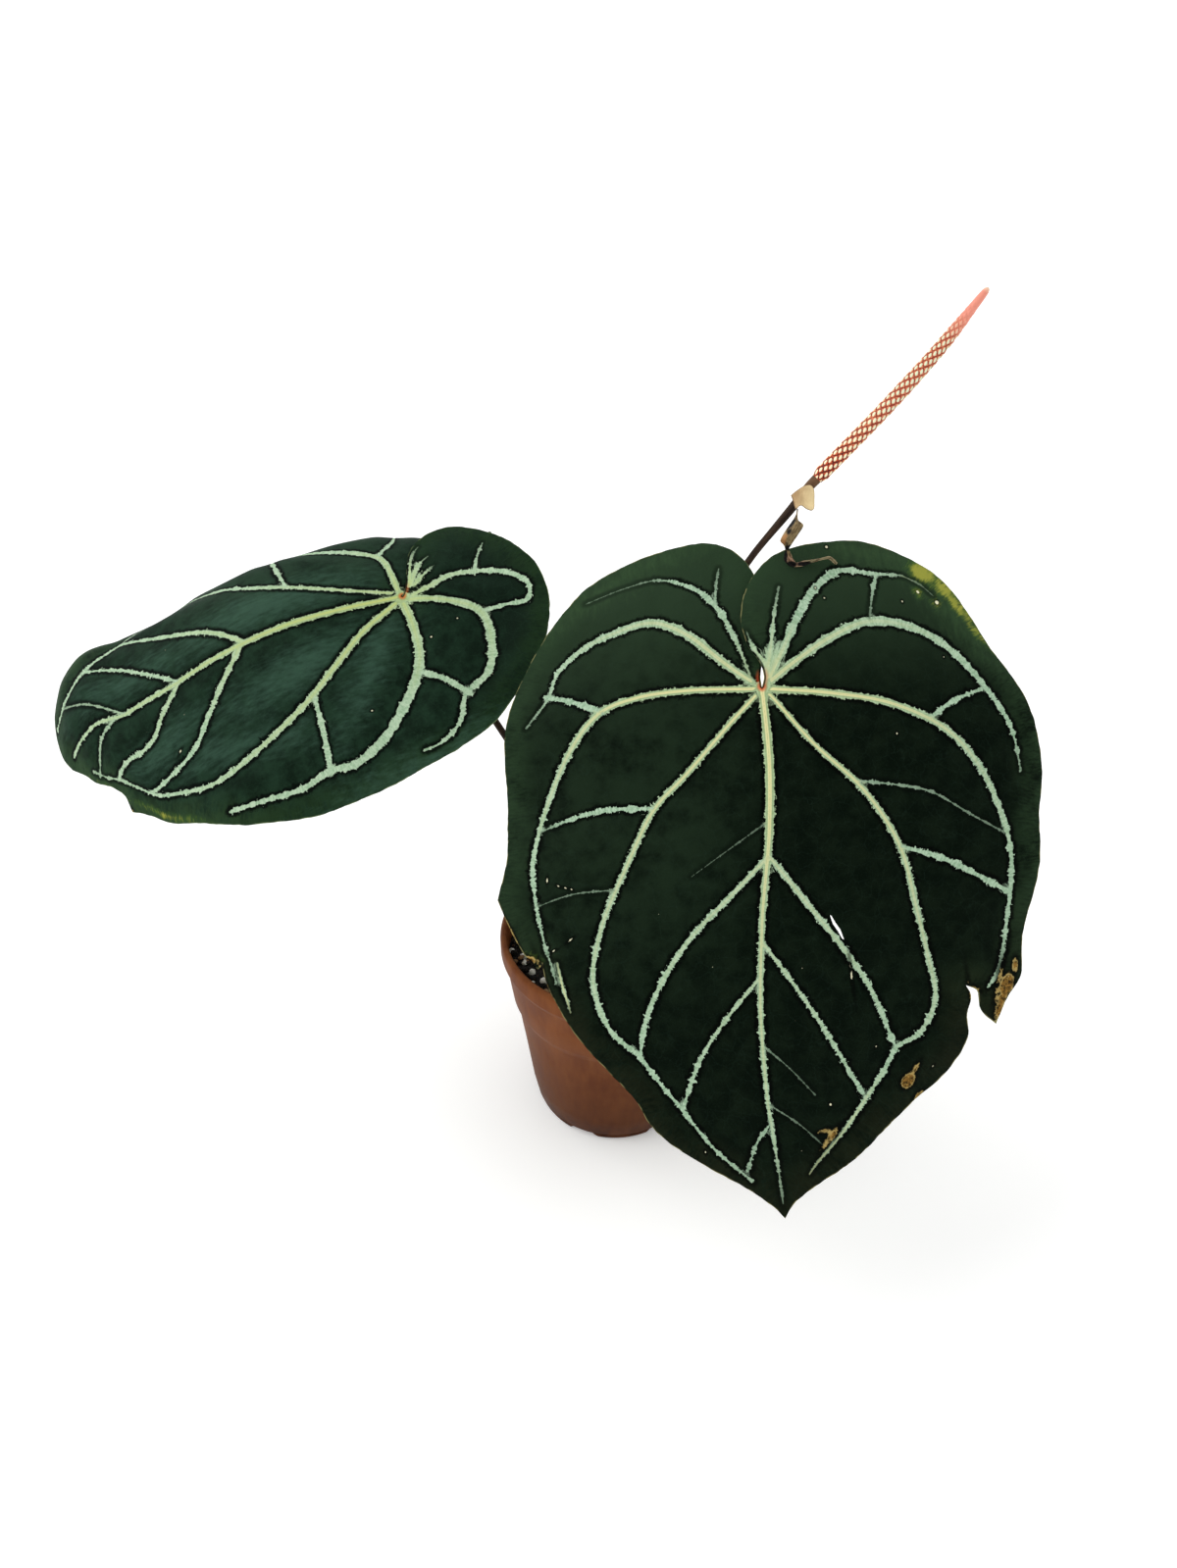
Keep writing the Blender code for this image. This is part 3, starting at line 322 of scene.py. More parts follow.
def strew(name, count, size, flat, look, seed, seen=()):
    """Small lumps pressed half into the mix, each turned and sized by chance from one seed."""
    bpy.ops.object.select_all(action="DESELECT")
    bpy.ops.mesh.primitive_ico_sphere_add(subdivisions=2, radius=0.6)
    pattern = bpy.context.object
    corners = np.array([point.co for point in pattern.data.vertices])
    sides = [tuple(face.vertices) for face in pattern.data.polygons]
    bpy.data.objects.remove(pattern, do_unlink=True)
    chance = np.random.default_rng(seed)
    points, faces = [], []
    for k in range(count):
        reach = math.sqrt(chance.uniform(STREWN_FROM ** 2, STREWN_TO ** 2))
        turn = chance.uniform(0, 2 * math.pi)
        x, y = reach * math.cos(turn), reach * math.sin(turn)
        spin, _ = np.linalg.qr(chance.normal(size=(3, 3)))
        if np.linalg.det(spin) < 0:
            spin[:, 0] *= -1
        lean = np.eye(3) * 0.75 + spin * 0.25 if flat < 0.6 else spin
        wide = size * chance.uniform(0.55, 1.3)
        if k < len(seen):
            x, y, wide = seen[k]
        shaped = corners * (1 + chance.uniform(-0.17, 0.17, size=corners.shape))
        shaped = shaped * (wide, wide * chance.uniform(0.6, 1.0), wide * flat) @ lean.T
        faces += [tuple(i + len(points) for i in side) for side in sides]
        points += list(shaped + (x, y, soil_height(x, y) + 0.12 * wide))
    mesh = bpy.data.meshes.new(name)
    mesh.from_pydata([tuple(p * MM) for p in points], [], faces)
    strewn = bpy.data.objects.new(name, mesh)
    bpy.context.scene.collection.objects.link(strewn)
    settle(strewn, look, "soil", crease=50.0)


perlite_finish, wire = new_finish("white_perlite", Roughness=0.85)
wire.feed(Base_Color=wire.place().cloud(0.002).ease(0.35, 0.65).blend("d8d3c8", "f2f0ea"),
          Normal=wire.place().cells(0.0005).bump(0.0004))
bark_finish, wire = new_finish("bark_chips", Roughness=0.85)
wire.feed(Base_Color=wire.place().cloud(0.004).ease(0.35, 0.65).blend("3c2617", "8a6744"),
          Normal=wire.place().stretch(1.0, 1.0, 0.2).cloud(0.0006, 3.0).bump(0.0004))
strew("soil_crumbs", 620, 3.0, 0.8, soil_finish, 11)
strew("perlite_grains", 120, 2.9, 0.8, perlite_finish, 23, [(-47.1, -12.1, 2.8), (-43.2, -20.0, 4.0)])
strew("bark_bits", 150, 4.6, 0.35, bark_finish, 37)


# Crown: the short, corky stem at soil level, ringed by old leaf scars and wrapped in a few dry
# sheaths. The stalks grow out of its top, and its foot stands in the mix.

def grid_faces(rows, columns, around=False):
    """Quads between the points of a grid, also from its last column to its first if it goes round."""
    return [(i * columns + j, i * columns + (j + 1) % columns, (i + 1) * columns + (j + 1) % columns,
             (i + 1) * columns + j) for i in range(rows - 1) for j in range(columns - (not around))]


def sheet_faces(front, count):
    """Faces of a thin closed sheet: its front, its back turned over, and the wall along its edges."""
    sides = {(face[i], face[(i + 1) % len(face)]) for face in front for i in range(len(face))}
    wall = [(b, a, a + count, b + count) for a, b in sides if (b, a) not in sides]
    return front + [tuple(i + count for i in face[::-1]) for face in front] + wall


def make_piece(name, points, faces, look, slot, *nodes, fields=None, crease=40.0):
    """A piece from points in millimetres, with its fields of values for the material."""
    mesh = bpy.data.meshes.new(name)
    mesh.from_pydata([tuple(p) for p in np.asarray(points) * MM], [], faces)
    for field, values in (fields or {}).items():
        values = np.asarray(values, np.float32)
        plain = values.ndim == 1
        layer = mesh.attributes.new(field, "FLOAT" if plain else "FLOAT_VECTOR", "POINT")
        layer.data.foreach_set("value" if plain else "vector", values.ravel())
    piece = bpy.data.objects.new(name, mesh)
    bpy.context.scene.collection.objects.link(piece)
    settle(piece, look, slot, *nodes, crease=crease)


crown_shape = [(0.5, 92.6), (8.4, 92.6), (9.2, 93.6), (9.2, 100.5), (8.9, 104.0), (8.6, 105.5), (9.2, 106.4),
               (9.6, 107.5), (9.1, 108.4), (8.6, 109.0), (8.8, 110.2), (9.4, 111.2), (9.2, 112.2),
               (8.6, 113.2), (7.6, 114.0), (5.0, 114.1), (0.5, 114.1)]
crown = turn_up("crown_stem", crown_shape, 72)
for point in crown.data.vertices:
    knob = noise.noise(point.co / (3.4 * MM)) + 0.5 * noise.noise(point.co / (1.2 * MM))
    if point.co.z < 113.9 * MM:
        point.co.xy *= 1.0 + 0.05 * knob

crown_finish, wire = new_finish("corky_crown", Roughness=0.85)
bands = wire.place().stretch(1.0, 1.0, 4.0).cloud(0.003, 4.0)
wire.feed(Base_Color=bands.ease(0.35, 0.65).blend("2c1d12", "6e5237"),
          Normal=(bands + wire.place().cloud(0.0007, 3.0)).bump(0.0007))
settle(crown, crown_finish, "crown", "crown")

papery_finish, wire = new_finish("dry_sheath", Roughness=0.7, Specular_IOR_Level=0.2)
grown = wire.field("grain", "Vector")
fibres = grown.stretch(3.0, 3.0, 0.12).cloud(1.0, 4.0)
wire.feed(Base_Color=(0.5 * fibres + 0.5 * grown.cloud(4.0, 3.0)).ease(0.35, 0.65).blend("4b3220", "a5845c"),
          Normal=fibres.bump(0.0004))

# Each sheath: the way it faces, its distance from the middle, its height, width and lean
SHEATHS = [(20, 8.8, 27, 9.5, 12), (140, 8.4, 34, 11.0, 8), (255, 8.9, 22, 9.0, 20), (310, 8.2, 17, 8.0, 26)]
SHEATH_ROWS, SHEATH_COLUMNS = 15, 9
SHEATH_THICK = 0.45
SHEATH_FOOT = 104.5
sheath_net = sheet_faces(grid_faces(SHEATH_ROWS, SHEATH_COLUMNS), SHEATH_ROWS * SHEATH_COLUMNS)
points, faces, grain = [], [], []
for facing, stand_off, tall, wide, lean in SHEATHS:
    faces += [tuple(i + len(points) for i in face) for face in sheath_net]
    for layer in (SHEATH_THICK, 0.0):
        for s in np.arange(SHEATH_ROWS) / (SHEATH_ROWS - 1):
            half = wide / 2 * (1 - s ** 2.2) ** 0.7 + 0.15
            for t in 2 * np.arange(SHEATH_COLUMNS) / (SHEATH_COLUMNS - 1) - 1:
                turn = math.radians(facing) + t * half / stand_off
                out = stand_off + layer + lean / 9 * s ** 2 + 0.5 * noise.noise((facing + 3 * t, 4 * s, 1.0))
                crumple = 0.9 * noise.noise((4 * t, facing, 2.0)) * s
                points.append((out * math.cos(turn), out * math.sin(turn),
                               SHEATH_FOOT + tall * s * math.cos(math.radians(lean) * s) + crumple))
                grain.append((t * half, layer, tall * s))
make_piece("crown_sheaths", points, faces, papery_finish, "crown", fields={"grain": grain})


# Leaf stalks: two round, dark brown petioles, thickest where they leave the crown, and swollen
# again at the joint that holds each blade, with fine lengthwise streaks and small pale pores.

def hermite(knots, values, slopes, at):
    """A cubic through the values and slopes at the knots, held level past both ends."""
    i = np.clip(np.searchsorted(knots, at) - 1, 0, len(knots) - 2)
    span = knots[i + 1] - knots[i]
    u = np.clip((at - knots[i]) / span, 0.0, 1.0)
    if values.ndim > 1:
        span, u = span[..., None], u[..., None]
    start = (1 + 2 * u) * (1 - u) ** 2 * values[i] + u * (1 - u) ** 2 * span * slopes[i]
    return start + u * u * (3 - 2 * u) * values[i + 1] + u * u * (u - 1) * span * slopes[i + 1]


def smooth_path(points, step):
    """Points about one step apart on a smooth curve through given points."""
    points = np.asarray(points, float)
    legs = np.linalg.norm(np.diff(points, axis=0), axis=1)
    knots = np.concatenate([[0.0], np.cumsum(np.sqrt(legs))])
    slopes = np.gradient(points, knots, axis=0)
    places = [knots[:1]]
    for i, leg in enumerate(legs):
        pieces = max(1, round(leg / step))
        places.append(knots[i] + (knots[i + 1] - knots[i]) * np.arange(1, pieces + 1) / pieces)
    return hermite(knots, points, slopes, np.concatenate(places))


def run_of(path):
    """How far along a path each of its points is."""
    return np.concatenate([[0.0], np.cumsum(np.linalg.norm(np.diff(path, axis=0), axis=1))])


def unit(rows):
    return rows / np.linalg.norm(rows, axis=-1, keepdims=True)


def tube_faces(rings, sides):
    """Quads round a tube of rings, with both its ends closed."""
    ends = [tuple(range(sides - 1, -1, -1)), tuple(range((rings - 1) * sides, rings * sides))]
    return grid_faces(rings, sides, around=True) + ends


def grow_stalk(name, route, radii, look, slot, node, sides=28):
    """A round stalk through given points, with closed ends and its grain running along it."""
    path = smooth_path(route, 1.6)
    run = run_of(path)
    ahead = unit(np.gradient(path, run, axis=0))
    radius = np.interp(run / run[-1], np.linspace(0, 1, len(radii)), radii)
    across = np.cross(ahead[0], (0.0, 1.0, 0.0))
    points, grain = [], []
    for k, (centre, way) in enumerate(zip(path, ahead)):
        across = unit(across - (across @ way) * way)
        other = np.cross(way, across)
        for turn in 2 * math.pi * np.arange(sides) / sides:
            grown = radius[k] * (1 + 0.03 * noise.noise((math.cos(turn) * 2, math.sin(turn) * 2, run[k] / 9)))
            points.append(centre + grown * (math.cos(turn) * across + math.sin(turn) * other))
            grain.append((radius[k] * math.cos(turn), radius[k] * math.sin(turn), run[k]))
    make_piece(name, points, tube_faces(len(path), sides), look, slot, node,
               fields={"grain": grain, "along": np.repeat(run, sides)})


def brown_skin(name, dark, light, fine):
    """Smooth brown skin with lengthwise streaks: its material, wire, streaks, patches and tone."""
    made, wire = new_finish(name, Specular_IOR_Level=0.14)
    grown = wire.field("grain", "Vector")
    streaks = grown.stretch(1.0, 1.0, 0.05).cloud(fine, 4.0, 0.6)
    patches = grown.stretch(1.0, 1.0, 0.3).cloud(3.0, 3.0)
    return made, wire, streaks, patches, (0.6 * streaks + 0.4 * patches).ease(0.36, 0.66).blend(dark, light)


petiole_finish, wire, streaks, patches, tone = brown_skin("petiole_skin", "1d110b", "3a2519", 0.5)
pores = wire.field("grain", "Vector").stretch(1.0, 1.0, 0.45).cells(1.1).ease(0.16, 0.08)
tone = (wire.field("along").ease(16.0, 0.0) * 0.55).blend(tone, "5b4a2e")
wire.feed(Base_Color=(pores * 0.3).blend(tone, "8a7355"), Roughness=0.42 + 0.2 * patches,
          Normal=(streaks + 0.4 * pores).bump(0.00016))


# Leaf blades: velvety, heart-shaped, dark green blades with a net of pale veins. A blade is drawn
# flat, in plan coordinates (a, b): b runs along the midrib from the stalk to the tip, and a is
# across it, positive on its right half. It is then laid over its midrib's curve, rolled and curled.

# The folded part of a half starts this far from the midrib and is fully turned this much further out
FOLD_FROM, FOLD_OVER = 34.0, 26.0
LOBE_LIFT = 1.8
HUB_RADIUS = 3.2
RIB_DEPTH = 0.9
# The net of triangles: its step, its reach, and the room round its points near lines and elsewhere
PLAN_STEP = 1.6
PLAN_LOW, PLAN_SIDE = -80.0, 122.0
FINE_ROOM, EVEN_ROOM = 0.45, 0.85
MARGIN_WAVER = 0.28
# How far from a line its distance is measured
MEASURED = 26.0


def eased(stations, at):
    """A value given at stations along a leaf, eased between them without overshoot."""
    knots, values = np.array(stations, float).T
    rises = np.diff(values) / np.diff(knots)
    slopes = np.concatenate([rises[:1], np.zeros(len(rises) - 1), rises[-1:]])
    same_way = rises[:-1] * rises[1:] > 0
    slopes[1:-1][same_way] = (2 * rises[:-1] * rises[1:])[same_way] / (rises[:-1] + rises[1:])[same_way]
    return hermite(knots, values, slopes, np.asarray(at, float))


def smoothstep(x):
    """0 below 0, 1 above 1, and an even ramp between."""
    x = np.clip(x, 0.0, 1.0)
    return x * x * (3 - 2 * x)


class Leaf:
    """One blade: the curve that its midrib follows, its roll and curl, and its flat plan."""

    def __init__(self, guide, roll, curl_right, curl_left, fold_left, sway, waves, tip, quilt, margins, veins,
                 cuts, **marks):
        self.path = smooth_path(guide[0] + guide[1], 2.0)
        run = run_of(self.path)
        self.run = run - run[int(np.argmin(np.linalg.norm(self.path - np.array(guide[1][0], float), axis=1)))]
        self.tangents = unit(np.gradient(self.path, self.run, axis=0))
        self.roll, self.sway, self.waves = roll, sway, waves
        self.curl = {1: curl_right, -1: curl_left}
        self.fold = {1: [(0, 0), (1, 0)], -1: fold_left}
        self.tip, self.quilt, self.margins, self.veins = tip, quilt, margins, veins
        self.cuts, self.marks = cuts, marks

    def place(self, plan, side):
        """Points and upward normals of the blade's middle surface at plan points of one half."""
        a, b = np.asarray(plan, float).T
        on_path = np.clip(b, self.run[0], self.run[-1])
        point = np.stack([np.interp(on_path, self.run, self.path[:, k]) for k in range(3)], axis=1)
        along = unit(np.stack([np.interp(on_path, self.run, self.tangents[:, k]) for k in range(3)], axis=1))
        point = point + (b - on_path)[:, None] * along
        across = unit(np.cross((0.0, 0.0, 1.0), along))
        up = np.cross(along, across)
        roll, curl, fold = (np.radians(eased(s, b)) for s in (self.roll, self.curl[side], self.fold[side]))
        steps = a[:, None] * np.linspace(0.0, 1.0, 25)
        folded = side * smoothstep((np.abs(steps) - FOLD_FROM) / FOLD_OVER)
        angles = roll[:, None] + curl[:, None] * steps + fold[:, None] * folded
        middles, pieces = (angles[:, 1:] + angles[:, :-1]) / 2, np.diff(steps, axis=1)
        shift, rise = (np.cos(middles) * pieces).sum(axis=1), -(np.sin(middles) * pieces).sum(axis=1)
        sway = eased(self.sway, b)
        point = point + (sway * np.cos(roll) + shift)[:, None] * across
        point = point + (rise - sway * np.sin(roll))[:, None] * up
        normal = np.sin(angles[:, -1:]) * across + np.cos(angles[:, -1:]) * up
        # The right lobe rises over the left one at the sinus, and both halves ripple at their margins
        height, length, phase = self.waves
        lift = side * LOBE_LIFT * smoothstep(-b / 8.0) * (1 - smoothstep((np.abs(a) - 8.0) / 27.0))
        ripple = height * (a / 100.0) ** 2 * np.sin(2 * math.pi * b / length + phase)
        return point + (lift + ripple)[:, None] * normal, normal

    def joint(self, below, aside):
        """The last points of its stalk's route, up to the seat in the blade's underside."""
        seat, up = (rows[0] for rows in self.place([(0.0, 3.0)], 1))
        seat = seat - 0.5 * up
        return [tuple(seat - below * up + aside), tuple(seat - 4 * up), tuple(seat)]


def nearest(points, line):
    """Distance of each plan point from a line, and the share of the line at which it is nearest."""
    gaps, shares = np.full(len(points), 1e9), np.zeros(len(points))
    near = np.all((points > line.min(axis=0) - MEASURED) & (points < line.max(axis=0) + MEASURED), axis=1)
    spots, best, share = points[near], gaps[near], shares[near]
    for k, (start, leg) in enumerate(zip(line, np.diff(line, axis=0))):
        along = np.clip((spots - start) @ leg / max(leg @ leg, 1e-9), 0.0, 1.0)
        gap = np.hypot(*(spots - start - along[:, None] * leg).T)
        closer = gap < best
        best[closer], share[closer] = gap[closer], (k + along[closer]) / (len(line) - 1)
    gaps[near], shares[near] = best, share
    return gaps, shares


def inside(points, outline):
    """Whether each plan point lies inside a closed outline."""
    hits = np.zeros(len(points), int)
    for (a0, b0), (a1, b1) in zip(outline, np.roll(outline, -1, axis=0)):
        if b0 != b1:
            crosses = (b0 > points[:, 1]) != (b1 > points[:, 1])
            hits += crosses & (points[:, 0] < a0 + (points[:, 1] - b0) * (a1 - a0) / (b1 - b0))
    return hits % 2 == 1


def patch(points, marks):
    """How far each plan point is outside the nearest oval mark: (a, b, length, width, turn)."""
    out = np.full(len(points), 50.0)
    for a, b, length, width, turn in marks:
        way = np.array([math.sin(math.radians(turn)), math.cos(math.radians(turn))])
        ends, sides = (points - (a, b)) @ way, (points - (a, b)) @ np.array([way[1], -way[0]])
        reach = np.hypot(ends / (length / 2), sides / (width / 2))
        out = np.minimum(out, (reach - 1) * min(length, width) / 2)
    return out


def spread(values, share):
    """The value at some share of a line, from values set at even steps along it."""
    return np.interp(share, np.linspace(0, 1, len(values)), values)


def wound(outline):
    """A closed outline, turned round if it doesn't run anticlockwise."""
    after = np.roll(outline, -1, axis=0)
    area = (outline[:, 0] * after[:, 1] - outline[:, 1] * after[:, 0]).sum()
    return outline if area >= 0 else outline[::-1]


def fill(points, outlines, edges=()):
    """Plan points and the triangles between them that fill the first outline, less the others."""
    found = delaunay_2d_cdt([Vector(p) for p in points], list(edges), outlines, 0, 1e-5)
    kept = [tuple(t) for t, source in zip(found[2], found[5]) if list(source) == [0]]
    return np.array([tuple(p) for p in found[0]]), kept


def half_plan(leaf, side):
    """One half of a blade, split into small triangles that follow its veins and marks."""
    margin = np.concatenate([np.zeros((1, 2))] + [smooth_path(run, 1.5)[1:] for run in leaf.margins[side]])
    ragged = [[noise.noise((a / 3.0, b / 3.0, side + layer)) for layer in (0.3, 5.7)] for a, b in margin]
    margin[3:-3] += MARGIN_WAVER * np.array(ragged)[3:-3]
    midrib = [(0.0, b) for b in np.arange(PLAN_STEP, leaf.tip - 0.5, PLAN_STEP)]
    shapes = [np.concatenate([margin, midrib[::-1]])]
    shapes += [np.array(cut, float) for half, cut in leaf.cuts if half == side]
    points, outlines, edges = [], [], []
    for shape in shapes:
        outlines.append(list(range(len(points), len(points) + len(shape))))
        points += [tuple(p) for p in wound(shape)]
    fixed = [np.concatenate([shape, shape[:1]]) for shape in shapes]
    lines = [(smooth_path(vein[-1], 2.0), vein[1]) for vein in leaf.veins if vein[0] == side]
    for line, _ in lines:
        edges += [(len(points) + i, len(points) + i + 1) for i in range(len(line) - 1)]
        points += [tuple(p) for p in line]
        fixed.append(line)
    # Points along both edges of each vein, on rings in each fleck, and on an even net elsewhere
    lines.append((smooth_path([(0.0, b) for b in (0, 60, 120, 180, leaf.tip)], 2.0), leaf.veins[0][1]))
    fine = []
    for line, widths in lines:
        along = unit(np.gradient(line, axis=0))
        out = np.stack([along[:, 1], -along[:, 0]], axis=1)
        out = out * spread(widths, np.linspace(0, 1, len(line)))[:, None] / 2
        fine += [line + out, line - out]
    turns = np.linspace(0, 2 * math.pi, 8, endpoint=False)
    for a, b, *_ in leaf.marks["fleck"]:
        fine += [np.stack([a + reach * np.cos(turns), b + reach * np.sin(turns)], axis=1)
                 for reach in (0, 0.6, 1.2)]
    even = []
    for j, b in enumerate(np.arange(PLAN_LOW, leaf.tip, PLAN_STEP * math.sqrt(0.75))):
        row = np.arange(-PLAN_SIDE + (j % 2) * PLAN_STEP / 2, PLAN_SIDE, PLAN_STEP)
        even.append(np.stack([row, np.full(len(row), b)], axis=1))
    spots = np.concatenate(fine + even)
    wanted = np.repeat([FINE_ROOM, EVEN_ROOM], [sum(map(len, fine)), sum(map(len, even))])
    within = inside(spots, shapes[0])
    spots, wanted = spots[within], wanted[within]
    clear = np.min([nearest(spots, line)[0] for line in fixed], axis=0)
    taken = {}
    for (a, b), gap, room in zip(spots, clear, wanted):
        cell = (int(a // 1.0), int(b // 1.0))
        close = [p for i in (-1, 0, 1) for j in (-1, 0, 1) for p in taken.get((cell[0] + i, cell[1] + j), ())]
        if gap > room * 0.7 and all(math.hypot(a - p[0], b - p[1]) > room for p in close):
            taken.setdefault(cell, []).append((a, b))
            points.append((a, b))
    return *fill(points, outlines, edges), margin


def blade_fields(leaf, side, plan, margin):
    """What the material and the relief need at each plan point; each vein has a run of its own."""
    from_hub = np.hypot(*plan.T)
    edge, across, run = from_hub - HUB_RADIUS, np.clip(from_hub / HUB_RADIUS, 0, 4), np.zeros(len(plan))
    cream, bold = np.ones(len(plan)), np.ones(len(plan))
    for number, (half_of_leaf, widths, pale, points) in enumerate(leaf.veins):
        if half_of_leaf in (side, 0):
            line = smooth_path(points, 2.0)
            gap, share = nearest(plan, line)
            half = spread(widths, share) / 2
            near = gap - half < edge
            edge[near], across[near] = (gap - half)[near], np.clip(gap / half, 0, 4)[near]
            run[near] = (share * run_of(line)[-1])[near] + 7.3 * number
            cream[near], bold[near] = spread(pale, share)[near], smoothstep((half - 0.25) / 0.6)[near]
    rim, rim_share = nearest(plan, margin)
    marks = {kind: np.clip(patch(plan, ovals), -20, 40) for kind, ovals in leaf.marks.items()}
    return {"vein": np.clip(edge, -3, 25), "across": across, "run": run, "cream": cream, "bold": bold,
            "margin": np.clip(rim, 0, 40), "rim_run": rim_share * run_of(margin)[-1], **marks}


def make_blade(name, leaf, look, slot, *nodes):
    """Both halves of a blade, joined along the midrib and given their thickness and ribs."""
    above, below, triangles, fields, plans, shared = [], [], [], {}, [], {}
    for side in (1, -1):
        plan, faces, margin = half_plan(leaf, side)
        plan[np.abs(plan[:, 0]) < 1e-4, 0] = 0.0
        middle, normal = leaf.place(plan, side)
        values = blade_fields(leaf, side, plan, margin)
        in_vein = np.clip(values["across"], 0, 1)
        raised = (0.65 * values["cream"] - 0.15) * (1 - in_vein ** 2)
        quilt = leaf.quilt * smoothstep(values["vein"] / 10.0) * smoothstep(values["margin"] / 9.0)
        # Half the thickness: 0.22 mm at the margin, and 0.4 mm from 3 mm further in
        half = 0.22 + 0.18 * smoothstep(values["margin"] / 3.0)
        rib = RIB_DEPTH * (1 - in_vein) * values["bold"] * smoothstep((np.hypot(*plan.T) - 5.5) / 8.0)
        upper = middle + (half + quilt + raised)[:, None] * normal
        lower = middle - (half - quilt + rib)[:, None] * normal
        numbers = {}
        for i in sorted({i for t in faces for i in t}):
            on_midrib = plan[i, 0] == 0.0 and plan[i, 1] > -0.001
            key = (0, round(plan[i, 1], 3)) if on_midrib else (side, i)
            if key not in shared:
                shared[key] = len(above)
                above.append(upper[i])
                below.append(lower[i])
                plans.append((*plan[i], 0.0))
                for field, column in values.items():
                    fields.setdefault(field, []).append(column[i])
            numbers[i] = shared[key]
        for t in faces:
            corners = tuple(numbers[i] for i in t)
            if len(set(corners)) == 3:
                triangles.append(corners)
    count = len(above)
    fields = {field: column * 2 for field, column in fields.items()}
    fields["under"] = [0.0] * count + [1.0] * count
    fields["plan"] = plans + [(a, b, 7.0) for a, b, _ in plans]
    make_piece(name, above + below, sheet_faces(triangles, count), look, slot, *nodes, fields=fields,
               crease=60.0)


def blade_finish(name, tones, **shine):
    """Velvet green with pale, barbed veins edged in black, worn marks, and a paler back."""
    made, wire = new_finish(name, **shine)
    plan = wire.field("plan", "Vector")
    vein, across, run, cream, bold, margin, rim_run, dead, yellow, fleck, bloom, under = map(
        wire.field, "vein across run cream bold margin rim_run dead yellow fleck bloom under".split())
    aside, down = plan.part("X"), plan.part("Y")
    hub = wire.vectors("LENGTH", plan.stretch(1.0, 1.0, 0.0), output="Value")
    fuzz = plan.cloud(0.8, 3.0, 0.7)
    mottle = plan.cloud(9.0, 4.0, 0.6)
    net = plan.shifted(plan.cloud(3.0, 2.0, output="Color"), 2.4).cells(6.5, "DISTANCE_TO_EDGE")

    # Barbs and longer tears stand square to each vein, and fringes square to the margin
    barb = wire.join(run, vein * 0.3, mottle * 14.0).cloud(1.15, 2.6, 0.7)
    torn = wire.join(run, vein * 0.4, mottle * 9.0).cloud(4.2, 2.0, 0.6)
    fringe = wire.join(rim_run, margin * 0.22, 0.0).cloud(1.1, 3.0, 0.65)
    teeth = 1.7 * (barb - 0.5) + (3.6 - 2.4 * cream) * (torn - 0.5)
    teeth = teeth + 0.6 * net.ease(0.07, 0.0) * barb.ease(0.4, 0.6)
    teeth = teeth * (0.3 + 0.7 * bold) + 0.3 * (fuzz - 0.5)
    edge = vein + 0.1 - teeth * vein.ease(-1.2, 0.2)
    on_vein = edge.ease(0.1, -0.1)
    pale = on_vein * (0.25 + 0.75 * bold)
    halo = edge.ease(2.3, 0.8) * (1 - on_vein) * (0.35 + 0.65 * bold)

    # The green ground, painted light and shade on its left side and its lobes, its margin, a painted bluish
    # sheen, yellowed patches, and the dark beside a vein
    deep = mottle.ease(0.35, 0.68).blend(tones["dark"], tones["light"])
    # Painted light: a sheen that lightens the left side of the blade, where the lamp on the left falls
    painted_side_sheen = (0.5 * mottle + 0.5 * plan.cloud(24.0)).ease(0.3, 0.6) * aside.ease(12.0, -40.0)
    deep = (painted_side_sheen * down.ease(150.0, 60.0) * 0.8).blend(deep, tones["painted_side_sheen"])
    # Painted light and shade: the lobes, which turn up towards the light, take their own tone, lighter on the
    # front leaf and darker on the left one
    deep = (down.ease(15.0, -60.0) * 0.8).blend(deep, tones["lobe"])
    rim = margin.ease(17.0, 1.0) * (0.5 * plan.cloud(14.0, 2.0) + 0.5 * fringe).ease(0.32, 0.6)
    deep = (rim * 0.75).blend(deep, down.ease(75.0, 140.0).blend(tones["margin"], tones["margin_low"]))
    # A painted sheen: soft patches and streaks of bluish light between the veins
    streak = plan.stretch(1.0, 0.3, 1.0).cloud(2.2, 4.0, 0.65)
    sheen = (bloom + 26.0 * (streak - 0.5) + 12.0 * (mottle - 0.5)).ease(9.0, -9.0) * vein.ease(0.8, 3.0)
    deep = (sheen * 0.42).blend(deep, tones["bloom"])
    deep = (net.ease(0.03, 0.0) * 0.12).blend(deep, tones["net"])
    deep = (fuzz.ease(0.5, 0.75) * 0.16).blend(deep, tones["net"])
    sick = (yellow + 9.0 * (fringe - 0.5) + 5.0 * (mottle - 0.5)).ease(1.6, -2.6)
    ripe = (yellow + 6.0 * (fringe - 0.5) + 5.0 * (plan.cloud(5.0, 3.0) - 0.5)).ease(0.5, -3.0)
    deep = (sick * 0.85).blend(deep, ripe.blend("43602a", "9a9c40"))
    deep = (halo * 0.92).blend(deep, tones["halo"])

    # The veins: mint, and cream in the middle with green flanks where they are strongest
    mint = barb.ease(0.35, 0.62).blend(tones["vein"], tones["vein_light"])
    mint = (cream.most(hub.ease(30.0, 4.0) * 0.7) * 0.55).blend(mint, tones["vein_green"])
    mint = (cream * across.ease(0.5, 0.26) * 0.9).blend(mint, tones["cream"])
    mint = (across.ease(0.82, 0.64) * across.ease(0.36, 0.54) * cream * 0.5).blend(mint, tones["groove"])
    mint = (across.ease(0.16, 0.02) * barb.ease(0.42, 0.6) * cream * 0.4).blend(mint, tones["groove"])
    top = pale.blend(deep, mint)

    # The hub over the stalk is rusty, and a painted shadow runs black round the slot of the sinus, along the
    # edge of the right lobe that lies over the left
    top = (hub.ease(2.4, 0.8) * 0.75).blend(top, tones["hub"])
    top = (margin.ease(2.4, 1.0) * hub.ease(9.0, 5.0) * 0.45).blend(top, tones["hub"])
    top = (margin.ease(1.1, 0.6) * hub.ease(20.0, 7.0) * 0.95).blend(top, tones["halo"])

